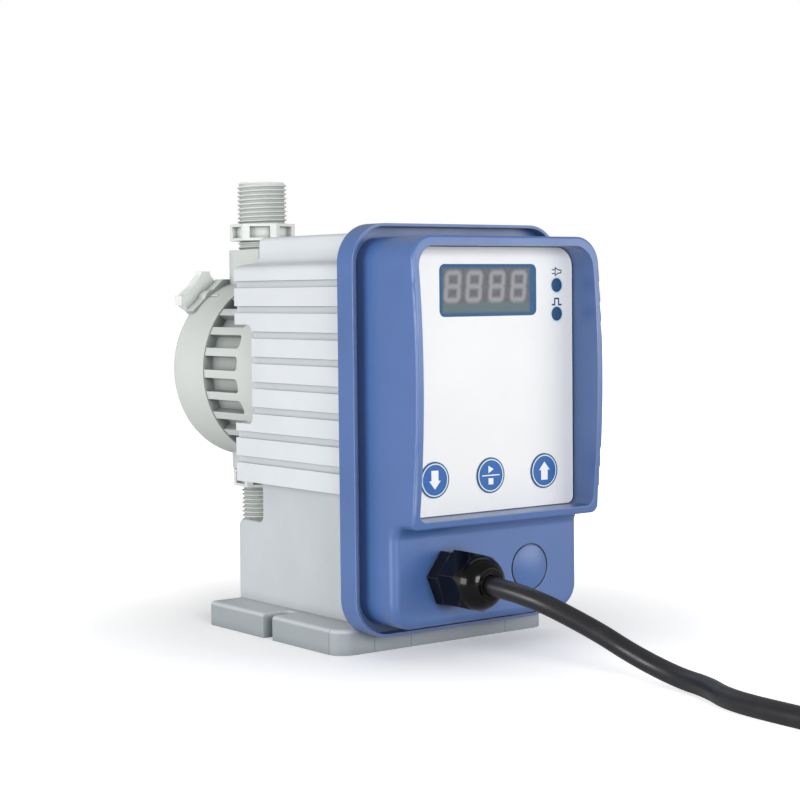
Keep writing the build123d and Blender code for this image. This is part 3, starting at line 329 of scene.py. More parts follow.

# The hollows setting in these finishes paints shade into grooves and pockets
MATERIALS = {
    # The base finish also paints shade on the foot's low upright faces
    "base_plastic": moulded("base_plastic", BASE_GREY, 0.5, mottle=0.03, rub=0.3, hollow_shade=0.4,
                            reach=5.0 * MM, seams=FOOT_SEAMS, skirt_shade=FOOT_SKIRT_SHADE),
    "housing_plastic": moulded("housing_plastic", HOUSING_GREY, 0.42, mottle=0.02, rub=0.5,
                               edge=0.6 * MM, hollow_shade=0.6),
    "cover_plastic": moulded("cover_plastic", COVER_BLUE, 0.36, mottle=0.04, rub=0.2, edge=0.7 * MM,
                             grain=0.03, coat=0.7, coat_roughness=0.4, hollow_shade=0.85, reach=3.6 * MM),
    "gasket_rubber": rubber("gasket_rubber", linear(58, 62, 68)),
    "label_film": moulded("label_film", LABEL_WHITE, 0.42, grain=0.1, mottle=0.012, rub=0.1,
                          edge=0.1 * MM, specular=0.35, grain_scale=1400.0),
    "led_lens": printed("led_lens", PRINT_NAVY, 0.22),
    "key_film": printed("key_film", PRINT_BLUE, 0.3),
    "board": printed("board", linear(16, 84, 48), 0.35),
    "display": printed("display", linear(60, 62, 62), 0.3),
    "switch_plastic": moulded("switch_plastic", linear(28, 28, 30), 0.45),
    "gland_plastic": moulded("gland_plastic", linear(6, 6, 7), 0.2, grain=0.04, mottle=0.2, rub=0.06,
                             edge=0.5 * MM, specular=0.12, coat=0.25, coat_roughness=0.05),
    "gland_rubber": rubber("gland_rubber", linear(22, 22, 24)),
    "yoke_steel": metal("yoke_steel", linear(160, 162, 165), 0.35, (1.0, 12.0, 1.0)),
    "bobbin_plastic": moulded("bobbin_plastic", linear(34, 34, 36), 0.5),
    "copper": metal("copper", linear(184, 98, 50), 0.3, (1.0, 30.0, 1.0), 500.0, 0.6),
    "sleeve_brass": metal("sleeve_brass", linear(196, 164, 92), 0.28),
    "armature_steel": metal("armature_steel", linear(170, 172, 176), 0.25, (1.0, 15.0, 1.0)),
    "bushing_bronze": metal("bushing_bronze", linear(170, 122, 70), 0.4),
    "spring_steel": metal("spring_steel", linear(175, 176, 180), 0.25),
    "head_plastic": moulded("head_plastic", HEAD_GREY, 0.5, mottle=0.02, rub=0.4, edge=0.5 * MM,
                            hollow_shade=1.0),
    "diaphragm_rubber": rubber("diaphragm_rubber", linear(40, 40, 42)),
    "valve_plastic": moulded("valve_plastic", VALVE_GREY, 0.45, grain=0.04, mottle=0.02, rub=0.2,
                             edge=0.3 * MM, hollow_shade=0.8, reach=3.0 * MM),
    "seat_rubber": rubber("seat_rubber", linear(30, 30, 32)),
    "ball_ceramic": moulded("ball_ceramic", linear(238, 238, 232), 0.12, grain=0.02, mottle=0.01),
    "screw_steel": metal("screw_steel", linear(176, 178, 182), 0.28),
    "knob_plastic": moulded("knob_plastic", linear(230, 233, 230), 0.5, mottle=0.02, rub=0.35,
                            hollow_shade=0.6, reach=4.0 * MM),
    "cord_rubber": rubber("cord_rubber", linear(30, 30, 34), 0.34, grain=0.12, dust=0.06),
    "plug_rubber": rubber("plug_rubber", linear(24, 24, 26), 0.45, grain=0.2, dust=0.08),
    "pin_metal": metal("pin_metal", linear(205, 205, 202), 0.18),
    "print_halo": printed("print_halo", HALO_BLUE, 0.35),
    "print_white": printed("print_white", PRINT_WHITE, 0.32),
}

# The display window
FIELD_DARK, FIELD_LIGHT = linear(90, 92, 96), linear(104, 106, 109)
STRIP_GREY = linear(94, 110, 115)
DIGIT_GREY = linear(148, 148, 153)
FRAME_DARK, FRAME_LIGHT = linear(38, 84, 124), linear(46, 94, 134)
FIELD_SCALE, FRAME_SCALE = 700.0, 900.0
WINDOW_GRAIN_SCALE, WINDOW_POLISH_SCALE = 2200.0, 60.0
WINDOW_ROUGHNESS = (0.3, 0.38)


def window_material():
    """Tinted display window; the grid's own attributes give the dim digits and the frame."""
    s = Shader("window_film")
    digits, rim, strip = (s.add("ShaderNodeAttribute", attribute_name=name).outputs["Fac"]
                          for name in ("digit", "rim", "strip"))
    field_tone = s.spread(s.noise(FIELD_SCALE), *NOISE_RANGE, 0.0, 1.0)
    frame_tone = s.spread(s.noise(FRAME_SCALE), *NOISE_RANGE, 0.0, 1.0)
    field = s.mix(field_tone, FIELD_DARK, FIELD_LIGHT)
    field = s.mix(strip, field, STRIP_GREY)
    lit = s.mix(digits, field, DIGIT_GREY)
    blue = s.mix(frame_tone, FRAME_DARK, FRAME_LIGHT)
    s.link(s.mix(rim, lit, blue), s.bsdf.inputs["Base Color"])
    s.link(s.bump(s.noise(WINDOW_GRAIN_SCALE, 2.0), 0.04, INK_DEPTH), s.bsdf.inputs["Normal"])
    s.rough(s.noise(WINDOW_POLISH_SCALE), *WINDOW_ROUGHNESS)
    s.set(Specular_IOR_Level=0.18)
    return s.material


MATERIALS["window_film"] = window_material()


def dress_cad_nodes():
    """Gives each CAD node the finish of its material slot."""
    for part in frame["record"]["subparts"]:
        mesh = NODES[part["node"]].data
        if not mesh.materials:
            mesh.materials.append(None)
        for i in range(len(mesh.materials)):
            mesh.materials[i] = MATERIALS[part["material_slot"]]


dress_cad_nodes()


# ---------------------------------------------------------------- mesh helpers
MERGE_DISTANCE = 1e-7


def piece(name, verts, faces, slot, body="pump", smooth_angle=30.0):
    """New mesh object with a slot's finish, riding on a body."""
    mesh = bpy.data.meshes.new(name)
    mesh.from_pydata([tuple(v) for v in verts], [], faces)
    bm = bmesh.new()
    bm.from_mesh(mesh)
    bmesh.ops.remove_doubles(bm, verts=bm.verts, dist=MERGE_DISTANCE)
    bmesh.ops.recalc_face_normals(bm, faces=bm.faces)
    bm.to_mesh(mesh)
    bm.free()
    mesh.materials.append(MATERIALS[slot])
    obj = bpy.data.objects.new(name, mesh)
    bpy.context.scene.collection.objects.link(obj)
    shade(obj, smooth_angle)
    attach(obj, body)
    return obj


def shade(obj, smooth_angle):
    """Smooth shading with sharp edges above the angle."""
    mesh = obj.data
    mesh.polygons.foreach_set("use_smooth", [True] * len(mesh.polygons))
    bm = bmesh.new()
    bm.from_mesh(mesh)
    limit = radians(smooth_angle)
    for edge in bm.edges:
        edge.smooth = len(edge.link_faces) == 2 and edge.calc_face_angle(0.0) < limit
    bm.to_mesh(mesh)
    bm.free()


def smooth(value, low, high):
    """0 below low, 1 above high, with a soft step between them."""
    t = max(0.0, min(1.0, (value - low) / (high - low)))
    return t * t * (3 - 2 * t)


def in_metres(points):
    return [tuple(c * MM for c in point) for point in points]


def ring_points(radius, count):
    angles = [2 * pi * i / count for i in range(count)]
    return [(radius * cos(a), radius * sin(a)) for a in angles]


def rounded_rect(half_x, half_z, radius, corner_steps):
    """Outline of a rounded rectangle, counter-clockwise from the right side."""
    points = []
    for cx, cz, start in ((1, -1, -90), (1, 1, 0), (-1, 1, 90), (-1, -1, 180)):
        for k in range(corner_steps + 1):
            a = radians(start + 90 * k / corner_steps)
            points.append((cx * (half_x - radius) + radius * cos(a),
                           cz * (half_z - radius) + radius * sin(a)))
    return points


def prism_parts(outline, centre, front_y, back_y):
    """Vertices and faces of a solid prism; the outline is in X and Z about the centre."""
    n = len(outline)
    verts = [(centre[0] + x, y, centre[1] + z) for y in (front_y, back_y) for x, z in outline]
    faces = [list(range(n)), list(range(2 * n - 1, n - 1, -1))]
    faces += [[i, (i + 1) % n, n + (i + 1) % n, n + i] for i in range(n)]
    return verts, faces


def band_parts(outer, inner, centre, front_y, back_y):
    """Ring between two outlines that have the same number of points."""
    n = len(outer)
    verts = [(centre[0] + x, y, centre[1] + z)
             for y in (front_y, back_y) for line in (outer, inner) for x, z in line]
    faces = []
    for i in range(n):
        j = (i + 1) % n
        faces += [[i, j, n + j, n + i], [2 * n + j, 2 * n + i, 3 * n + i, 3 * n + j],
                  [j, i, 2 * n + i, 2 * n + j], [n + i, n + j, 3 * n + j, 3 * n + i]]
    return verts, faces


def join_parts(*parts):
    verts, faces = [], []
    for v, f in parts:
        base = len(verts)
        verts += v
        faces += [[base + i for i in face] for face in f]
    return verts, faces


def rings_to_faces(rings, count, closed=False):
    """Quads between rings of the same number of points, ring after ring."""
    faces = []
    for j in range(rings if closed else rings - 1):
        here, there = j * count, (j + 1) % rings * count
        faces += [[here + i, here + (i + 1) % count, there + (i + 1) % count, there + i]
                  for i in range(count)]
    return faces


def lathe_parts(profile, centre, count):
    """Solid of revolution about an axis along Y; the profile is a line of (radius, Y) points."""
    verts = []
    for radius, y in profile:
        verts += [(centre[0] + x, y, centre[1] + z) for x, z in ring_points(radius, count)]
    return verts, rings_to_faces(len(profile), count)


# ---------------------------------------------------------------- cord
# Places in millimetres, as in part.py; the diameter in metres
CORD_DIAMETER = 7.0 * MM
CORD_FLOOR_Z = 3.9
COIL_CENTRE = (33.0, -258.0)
COIL_OUTER = 42.0
COIL_INNER = 35.0
LAYER_STEP = 7.0
CORD_ROUTE = [
    (-18.2, -79.0, 29.0),
    (-18.2, -109.0, 29.0),
    (-4.3, -132.0, 17.2),
    (2.5, -145.0, 9.0),
    (4.8, -163.6, CORD_FLOOR_Z),
    (1.6, -180.1, CORD_FLOOR_Z),
    (-7.6, -197.7, CORD_FLOOR_Z),
    (-9.0, -227.9, CORD_FLOOR_Z),
]
TAIL_ROUTE = [
    (-9.0, -272.0, 17.9),
    (-9.0, -287.0, 14.4),
    (-9.0, -301.0, 14.4),
]
TURN_POINTS = 16
# Radius and layer of each turn, and of the place where the next turn begins
TURNS = [(COIL_OUTER, 0), (COIL_INNER, 0), (COIL_INNER, 1), (COIL_OUTER, 1), (COIL_OUTER, 2),
         (COIL_OUTER, 2)]
TURN_SHIFT_START = 0.72    # the cord moves to its next turn in the last part of each turn
TURN_OVERSIZE = 1.0 / cos(pi / TURN_POINTS) ** 0.5    # the spline runs inside its points


def coil_points():
    points = []
    for turn in range(len(TURNS) - 1):
        (r0, l0), (r1, l1) = TURNS[turn], TURNS[turn + 1]
        for k in range(TURN_POINTS):
            t = k / TURN_POINTS
            shift = smooth(t, TURN_SHIFT_START, 1.0)
            radius = (r0 + (r1 - r0) * shift) * TURN_OVERSIZE
            height = CORD_FLOOR_Z + LAYER_STEP * (l0 + (l1 - l0) * shift)
            a = pi + 2 * pi * t
            points.append((COIL_CENTRE[0] + radius * cos(a), COIL_CENTRE[1] + radius * sin(a),
                           height))
    end_radius = COIL_OUTER * TURN_OVERSIZE
    points.append((COIL_CENTRE[0] - end_radius, COIL_CENTRE[1], CORD_FLOOR_Z + 2 * LAYER_STEP))
    return points


def make_cord():
    points = CORD_ROUTE + coil_points() + TAIL_ROUTE
    curve = bpy.data.curves.new("mains_cord", "CURVE")
    curve.dimensions = "3D"
    spline = curve.splines.new("NURBS")
    spline.points.add(len(points) - 1)
    for point, place in zip(spline.points, points):
        point.co = (*(c * MM for c in place), 1.0)
    spline.order_u = 3
    spline.use_endpoint_u = True
    curve.resolution_u = 10
    curve.bevel_depth = CORD_DIAMETER / 2
    curve.bevel_resolution = 8
    curve.materials.append(MATERIALS["cord_rubber"])
    obj = bpy.data.objects.new("mains_cord", curve)
    bpy.context.scene.collection.objects.link(obj)
    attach(obj, "pump")
    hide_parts("cord", "cord_coil", "cord_tail")
    return obj


cord = make_cord()


# ---------------------------------------------------------------- plug
PLUG_NECK = 22 * MM            # length of the ribbed strain relief
NECK_RIBS, NECK_RIB_STEP, NECK_RIB_START = 6, 3.2 * MM, 1.5 * MM
NECK_ROOT, NECK_THIN, NECK_GROWTH = 4.6 * MM, 4.9 * MM, 4.6 * MM    # radii at the cord, and the taper
# Along each rib of the neck: distance and change of radius
NECK_RIB = ((0.0, 0.0), (1.7 * MM, 0.3 * MM), (1.9 * MM, -0.7 * MM), (3.0 * MM, -0.5 * MM))
NECK_SHOULDER = (1.0 * MM, 10.5 * MM, 10.0 * MM)    # before the neck's end, half width, half height
# Each row: distance from the neck's end, a grip's start or the front, then the shares of the
# plug's half width and half height
PLUG_SHOULDER = ((1.5 * MM, 0.8, 0.86), (5.0 * MM, 0.93, 0.97), (9.0 * MM, 0.93, 0.97))
GRIPS, GRIP_STEP, GRIP_START = 4, 3.4 * MM, 10.0 * MM
PLUG_GRIP = ((0.0, 0.93, 0.93), (1.0 * MM, 0.93, 0.93), (1.5 * MM, 0.985, 0.99),
             (3.0 * MM, 0.985, 0.99))
PLUG_FRONT = ((8.0 * MM, 0.99, 0.99), (1.2 * MM, 0.99, 0.99), (0.3 * MM, 0.96, 0.95),
              (0.0, 0.9, 0.88))
PLUG_COLUMNS = 48
ROUND_POWER, BOXY_POWER = 2.0, 3.2     # of the superellipse: neck and body
ROUND_SHARE = 0.7                      # sections narrower than this share of the body are round

PIN_TIP = ((0.0, 0.0), (0.55, 0.1 * MM), (0.88, 0.7 * MM), (1.0, 1.8 * MM))    # radius share, height
PIN_COLUMNS = 28
SLEEVE_LENGTH = 10 * MM
SLEEVE_OUT, SLEEVE_IN = 0.05 * MM, 0.25 * MM
SLEEVE_FIT = 0.995

# The tie, in millimetres
TIE_WIDTH = 8.0
TIE_THICKNESS = 0.35
TIE_REACH = 3.9                # from a turn's middle to the tie round it
TIE_LOW = 0.15
TIE_MIDDLE_RISE = 0.6          # above the middle between the second and third layers
TIE_TOP_RISE = 4.0             # above the middle of the third layer
TIE_CORNER, TIE_CORNER_STEPS = 2.2, 4


def make_plug():
    """Round-cornered two-pin plug: moulded body with grip ribs and a ribbed strain relief."""
    low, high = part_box("plug")
    middle = (low + high) / 2
    half_w, half_h = (high.x - low.x) / 2, (high.z - low.z) / 2
    neck_end = high.y - PLUG_NECK
    stations = [(high.y, NECK_ROOT, NECK_ROOT)]
    for k in range(NECK_RIBS):
        start = high.y - NECK_RIB_START - k * NECK_RIB_STEP
        radius = NECK_THIN + NECK_GROWTH * k / NECK_RIBS
        stations += [(start - along, radius + more, radius + more) for along, more in NECK_RIB]
    before, shoulder_w, shoulder_h = NECK_SHOULDER
    stations.append((neck_end + before, shoulder_w, shoulder_h))
    stations += [(neck_end - along, half_w * w, half_h * h) for along, w, h in PLUG_SHOULDER]
    for k in range(GRIPS):
        start = neck_end - GRIP_START - GRIP_STEP * k
        stations += [(start - along, half_w * w, half_h * h) for along, w, h in PLUG_GRIP]
    stations += [(low.y + along, half_w * w, half_h * h) for along, w, h in PLUG_FRONT]
    verts = []
    for y, a, b in stations:
        power = ROUND_POWER if a < ROUND_SHARE * half_w else BOXY_POWER
        for c, d in ring_points(1.0, PLUG_COLUMNS):
            radius = (abs(c / a) ** power + abs(d / b) ** power) ** (-1 / power)
            verts.append((middle.x + radius * c, y, middle.z + radius * d))
    rings = len(stations)
    faces = rings_to_faces(rings, PLUG_COLUMNS)
    faces += [[first + i for i in range(PLUG_COLUMNS)] for first in (0, (rings - 1) * PLUG_COLUMNS)]
    plug = piece("plug_body", verts, faces, "plug_rubber", smooth_angle=38.0)
    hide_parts("plug")
    return plug


def make_pins():
    """Round pins with insulated roots and domed tips."""
    low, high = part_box("plug_pins")
    z = (low.z + high.z) / 2
    r = (high.z - low.z) / 2
    profile = [(r * share, low.y + height) for share, height in PIN_TIP] + [(r, high.y), (0.0, high.y)]
    outer = ring_points(r * SLEEVE_FIT + SLEEVE_OUT, PIN_COLUMNS)
    inner = ring_points(r - SLEEVE_IN, PIN_COLUMNS)
    places = [(low.x + r, z), (high.x - r, z)]
    bare = [lathe_parts(profile, place, PIN_COLUMNS) for place in places]
    cased = [band_parts(outer, inner, place, high.y - SLEEVE_LENGTH, high.y) for place in places]
    pins = piece("plug_contact_pins", *join_parts(*bare), "pin_metal")
    sleeve = piece("plug_pin_sleeves", *join_parts(*cased), "plug_rubber")
    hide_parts("plug_pins")
    return pins, sleeve


plug = make_plug()
pins, pin_sleeves = make_pins()


def towards(start, end, distance):
    """Point at a distance from start on the way to end."""
    share = distance / hypot(end[0] - start[0], end[1] - start[1])
    return tuple(a + (b - a) * share for a, b in zip(start, end))


def make_cord_tie():
    """Strap that holds the coil together, round the section on the coil's right side."""
    left, right = COIL_INNER - TIE_REACH, COIL_OUTER + TIE_REACH
    middle_top = CORD_FLOOR_Z + 1.5 * LAYER_STEP + TIE_MIDDLE_RISE
    top = CORD_FLOOR_Z + 2 * LAYER_STEP + TIE_TOP_RISE
    corners = [(left, TIE_LOW), (right, TIE_LOW), (right, top), (COIL_OUTER - TIE_REACH, top),
               (left, middle_top)]
    centre = [sum(values) / len(corners) for values in zip(*corners)]
    outer = []
    for i, corner in enumerate(corners):
        before = towards(corner, corners[i - 1], TIE_CORNER)
        after = towards(corner, corners[(i + 1) % len(corners)], TIE_CORNER)
        for k in range(TIE_CORNER_STEPS + 1):
            t = k / TIE_CORNER_STEPS
            outer.append(tuple((1 - t) ** 2 * a + 2 * t * (1 - t) * b + t * t * c
                               for a, b, c in zip(before, corner, after)))
    inner = [towards(point, centre, TIE_THICKNESS) for point in outer]
    y = COIL_CENTRE[1]
    verts, faces = band_parts(outer, inner, (COIL_CENTRE[0], 0.0), y - TIE_WIDTH / 2, y + TIE_WIDTH / 2)
    return piece("cord_tie", in_metres(verts), faces, "plug_rubber", smooth_angle=50.0)


cord_tie = make_cord_tie()


# ---------------------------------------------------------------- pipe threads
# Sizes in millimetres
THREAD_PITCH = 1.814
THREAD_CREST = 10.4775
STAND_CREST = 10.3             # the stub thread between the head and the hexagon
THREAD_ROOT = 9.33
THREAD_CORE = THREAD_ROOT - 0.2    # what is left of the CAD cylinder inside the thread
TUBE_WALL = 0.7                # from the thread's root in to the tube's inner face
THREAD_RUN_OUT, STAND_RUN_OUT = 0.9, 0.3
THREAD_FLAT, THREAD_FLANK = 0.14, 0.72     # share of half a pitch
THREAD_COLUMNS = 80
ROWS_PER_PITCH = 14
CYLINDER_RANGE = (9.3, 10.6)   # radii of the CAD cylinders that stand for threads
VALVE_Y = 76.7
CONNECTION = 17.5              # from a valve's end to its hexagon
HEX_HEIGHT = 7.1
TUBE_OVERLAP = 0.3             # how far a threaded tube runs into the hexagon
STAND_OVERLAP = 0.2
STAND_DROP = 1.2               # how far the stub thread runs into the head
CORE_OVERLAP = 0.2             # how far into the hexagon a thread cylinder's points may lie
HEX_LOW_OVERLAP = 0.05


def thread_parts(low, high, crest=THREAD_CREST, run_out=THREAD_RUN_OUT):
    """Tube with a right-hand thread outside, which fades out at both ends."""
    rows = ceil((high - low) / THREAD_PITCH * ROWS_PER_PITCH)
    heights = [low] + [low + (high - low) * j / rows for j in range(rows + 1)] + [high]
    verts = []
    for row, h in enumerate(heights):
        fade = max(0.0, min(1.0, (h - low) / run_out, (high - h) / run_out))
        for i in range(THREAD_COLUMNS):
            a = 2 * pi * i / THREAD_COLUMNS
            phase = (h / THREAD_PITCH - a / (2 * pi)) % 1.0
            ridge = max(0.0, min(1.0, (abs(2 * phase - 1) - THREAD_FLAT) / THREAD_FLANK))
            r = THREAD_ROOT + (crest - THREAD_ROOT) * ridge * fade
            if row in (0, len(heights) - 1):
                r = THREAD_ROOT - TUBE_WALL
            verts.append((r * cos(a), VALVE_Y + r * sin(a), h))
    return in_metres(verts), rings_to_faces(len(heights), THREAD_COLUMNS, closed=True)


def core_copy(node, name, is_thread):
    """Copy of a valve whose thread cylinders are taken in to the thread's core."""
    source = NODES[node]
    mesh = source.data.copy()
    obj = bpy.data.objects.new(name, mesh)
    bpy.context.scene.collection.objects.link(obj)
    obj.matrix_world = source.matrix_world.copy()
    there, back = source.matrix_world, source.matrix_world.inverted()
    smallest, largest = CYLINDER_RANGE
    for vertex in mesh.vertices:
        place = there @ vertex.co
        out = Vector((place.x, place.y - VALVE_Y * MM, 0))
        if smallest < out.length / MM < largest and is_thread(place.z / MM):
            out = out.normalized() * THREAD_CORE * MM
            vertex.co = back @ Vector((out.x, out.y + VALVE_Y * MM, place.z))
    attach(obj, "pump")
    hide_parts(node)


def thread_piece(name, *sizes):
    piece(name, *thread_parts(*sizes), "valve_plastic", smooth_angle=75.0)


def make_threads():
    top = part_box("discharge_valve")[1].z / MM
    hex_top = top - CONNECTION
    hex_low = hex_top - HEX_HEIGHT
    stand_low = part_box("pump_head")[1].z / MM
    core_copy("discharge_valve", "discharge_valve_core",
              lambda z: z > hex_top - CORE_OVERLAP or z < hex_low + HEX_LOW_OVERLAP)
    thread_piece("discharge_thread", hex_top - TUBE_OVERLAP, top)
    thread_piece("discharge_stand_thread", stand_low - STAND_DROP, hex_low + STAND_OVERLAP,
                 STAND_CREST, STAND_RUN_OUT)
    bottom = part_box("suction_valve")[0].z / MM
    suction_hex_low = bottom + CONNECTION
    core_copy("suction_valve", "suction_valve_core", lambda z: z < suction_hex_low + CORE_OVERLAP)
    thread_piece("suction_thread", bottom, suction_hex_low + TUBE_OVERLAP)


make_threads()


# ---------------------------------------------------------------- control panel print
# Sizes in millimetres
LABEL_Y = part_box("label_panel")[0].y / MM
PRINT_RISE = 0.04
PRINT_DEPTH = 0.06
JOIN_RISE = 0.002              # the discs on a line's corners stand this much prouder
JOIN_COLUMNS = 12
RING_COLUMNS = 72
WINDOW_CORNER = 2.3
WINDOW_COLUMNS, WINDOW_ROWS = 190, 80
WINDOW_BACK = 0.02
DISPLAY_FIELD = (-21.6, 19.7, 124.2, 140.6)    # left, right, bottom and top of the grey field
FIELD_FADE = (-0.5, 0.8)       # the frame's blue fades between these distances inside its edge
DIGIT_CENTRES = (-16.8, -6.9, 3.8, 14.2)
DIGIT_Z = 133.8
DIGIT_HALF = (2.9, 2.45)       # half width and half height of one loop
DIGIT_CORNER = 1.3
DIGIT_REACH = 5.5              # no digit is wider than this to either side
DIGIT_GLOW = 1.8               # from the middle of a stroke to where it has faded
DIGIT_SLANT = 0.09
STRIP_TOP = 127.9
STRIP_FADE = 0.6
UP_ARROW = [(-1.6, -3.4), (1.6, -3.4), (1.6, 0.3), (2.65, 0.3), (0.0, 3.4), (-2.65, 0.3), (-1.6, 0.3)]
DOWN_ARROW = [(-x, -z) for x, z in UP_ARROW]
START_TRIANGLE = [(-1.15, 0.85), (1.35, 2.2), (-1.15, 3.55)]
STOP_HALF, STOP_DROP = 1.15, 2.2
DIVIDER_HALF = (4.15, 0.2)
MARK_CORNER, MARK_CORNER_STEPS = 0.15, 3
PLUG_ICON = [(32.3, 140.5), (33.7, 139.7), (35.2, 139.5), (35.2, 138.6), (33.7, 138.4), (32.3, 137.5)]
PLUG_PRONGS = [[(30.8, z), (32.3, z)] for z in (139.7, 138.3)]
PLUG_LINE = 0.42
PULSE_ICON = [(30.8, 126.7), (32.0, 126.7), (32.0, 129.0), (33.9, 129.0), (33.9, 126.7), (35.2, 126.7)]
PULSE_LINE = 0.62
LED_X, LED_HEIGHTS = 33.0, (134.0, 123.3)
LED_HALO = (3.25, 2.66)        # outer and inner radius
# Rings round a key: name, outer and inner radius, finish
KEY_RINGS = (("edge", 6.48, 5.98, "led_lens"), ("ring", 5.98, 5.5, "print_halo"),
             ("line", 5.5, 5.3, "led_lens"))


def digit_amount(x, z):
    """1 on a stroke of a digit, fading to 0 beside it; each digit is two rounded loops."""
    nearest = DIGIT_GLOW
    half_w, half_h = DIGIT_HALF
    for centre in DIGIT_CENTRES:
        lz = z - DIGIT_Z
        lx = x - centre - DIGIT_SLANT * lz
        if abs(lx) > DIGIT_REACH:
            continue
        for loop in (-1, 1):
            qx = abs(lx) - (half_w - DIGIT_CORNER)
            qz = abs(lz - loop * half_h) - (half_h - DIGIT_CORNER)
            d = hypot(max(qx, 0.0), max(qz, 0.0)) + min(max(qx, qz), 0.0) - DIGIT_CORNER
            nearest = min(nearest, abs(d))
    return 1.0 - smooth(nearest, 0.0, DIGIT_GLOW)


def make_display_face():
    """Fine grid over the window that carries the dim digits, the blue frame and the lower strip."""
    low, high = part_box("display_window")
    half_x, half_z = (high.x - low.x) / 2 / MM, (high.z - low.z) / 2 / MM
    mid_z = (high.z + low.z) / 2 / MM
    columns, rows = WINDOW_COLUMNS, WINDOW_ROWS
    verts, faces = [], []
    for j in range(rows + 1):
        z = half_z * (2 * j / rows - 1)
        past = max(0.0, abs(z) - (half_z - WINDOW_CORNER))
        width = half_x - WINDOW_CORNER + (max(0.0, WINDOW_CORNER ** 2 - past ** 2)) ** 0.5
        verts += [(width * (2 * i / columns - 1), LABEL_Y - PRINT_RISE, mid_z + z)
                  for i in range(columns + 1)]
    step = columns + 1
    for j in range(rows):
        faces += [[j * step + i, j * step + i + 1, (j + 1) * step + i + 1, (j + 1) * step + i]
                  for i in range(columns)]
    rim = list(range(columns)) + [j * step + columns for j in range(rows)]
    rim += [rows * step + i for i in range(columns, 0, -1)] + [j * step for j in range(rows, 0, -1)]
    base = len(verts)
    verts += [(verts[i][0], LABEL_Y + WINDOW_BACK, verts[i][2]) for i in rim]
    n = len(rim)
    faces += [[rim[i], rim[(i + 1) % n], base + (i + 1) % n, base + i] for i in range(n)]
    faces.append([base + i for i in range(n)])
    face = piece("display_face", in_metres(verts), faces, "window_film")
    left, right, bottom, top = DISPLAY_FIELD
    values = {"digit": [], "rim": [], "strip": []}
    for vertex in face.data.vertices:
        x, z = vertex.co.x / MM, vertex.co.z / MM
        inset = min(x - left, right - x, z - bottom, top - z)
        values["digit"].append(digit_amount(x, z))
        values["rim"].append(1.0 - smooth(inset, *FIELD_FADE))
        values["strip"].append(1.0 - smooth(z, STRIP_TOP - STRIP_FADE, STRIP_TOP + STRIP_FADE))
    for name, numbers in values.items():
        face.data.attributes.new(name, "FLOAT", "POINT").data.foreach_set("value", numbers)


def print_slab(name, outline, centre, slot, front, body="pump"):
    verts, faces = prism_parts(outline, centre, front, front + PRINT_DEPTH)
    piece(name, in_metres(verts), faces, slot, body)


def print_ring(name, outer, inner, centre, slot, front, body="pump"):
    verts, faces = band_parts(ring_points(outer, RING_COLUMNS), ring_points(inner, RING_COLUMNS),
                              centre, front, front + PRINT_DEPTH)
    piece(name, in_metres(verts), faces, slot, body)


def stroke_parts(points, width, front, closed=False):
    """Printed line: one flat bar for each run, with a small disc at each corner."""
    parts = []
    ends = points[1:] + points[:1] if closed else points[1:]
    for (ax, az), (bx, bz) in zip(points, ends):
        length = hypot(bx - ax, bz - az)
        nx, nz = -(bz - az) / length * width / 2, (bx - ax) / length * width / 2
        outline = [(ax + nx, az + nz), (ax - nx, az - nz), (bx - nx, bz - nz), (bx + nx, bz + nz)]
        parts.append(prism_parts(outline, (0, 0), front, front + PRINT_DEPTH))
    disc = ring_points(width / 2, JOIN_COLUMNS)
    parts += [prism_parts(disc, point, front - JOIN_RISE, front + PRINT_DEPTH + JOIN_RISE)
              for point in points]
    return join_parts(*parts)


def print_lines(name, *parts):
    verts, faces = join_parts(*parts)
    piece(name, in_metres(verts), faces, "led_lens")


def make_panel_print():
    front = LABEL_Y - PRINT_RISE
    print_lines("plug_icon", stroke_parts(PLUG_ICON, PLUG_LINE, front, closed=True),
                *(stroke_parts(prong, PLUG_LINE, front) for prong in PLUG_PRONGS))
    print_lines("pulse_icon", stroke_parts(PULSE_ICON, PULSE_LINE, front))
    for k, z in enumerate(LED_HEIGHTS):
        print_ring(f"led_halo_{k}", *LED_HALO, (LED_X, z), "print_halo", front)
    for key in ("key_down", "key_start_stop", "key_up"):
        low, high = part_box(key)
        centre = ((low.x + high.x) / 2 / MM, (low.z + high.z) / 2 / MM)
        cap = low.y / MM - PRINT_RISE
        for ring, outer, inner, finish in KEY_RINGS:
            print_ring(f"{key}_{ring}", outer, inner, centre, finish, cap, key)
        if key == "key_start_stop":
            below = (centre[0], centre[1] - STOP_DROP)
            square = rounded_rect(STOP_HALF, STOP_HALF, MARK_CORNER, MARK_CORNER_STEPS)
            divider = rounded_rect(*DIVIDER_HALF, MARK_CORNER, MARK_CORNER_STEPS)
            print_slab("start_mark", START_TRIANGLE, centre, "print_white", cap, key)
            print_slab("stop_mark", square, below, "print_white", cap, key)
            print_slab("key_divider", divider, centre, "print_white", cap, key)
        else:
            arrow = UP_ARROW if key == "key_up" else DOWN_ARROW
            print_slab(f"{key}_arrow", arrow, centre, "print_white", cap, key)


make_display_face()
make_panel_print()


# ---------------------------------------------------------------- cable gland's clamping fingers
# Sizes in millimetres
GLAND_AXIS = (-18.2, 29.0)
FINGERS = 8
FINGER_GAP = 0.06              # share of a finger's angle left open at each side
FINGER_STEPS = 6
FINGER_OUTER, FINGER_INNER = 4.12, 3.6
FINGER_FRONT_Y, FINGER_REAR_Y = -94.4, -90.0


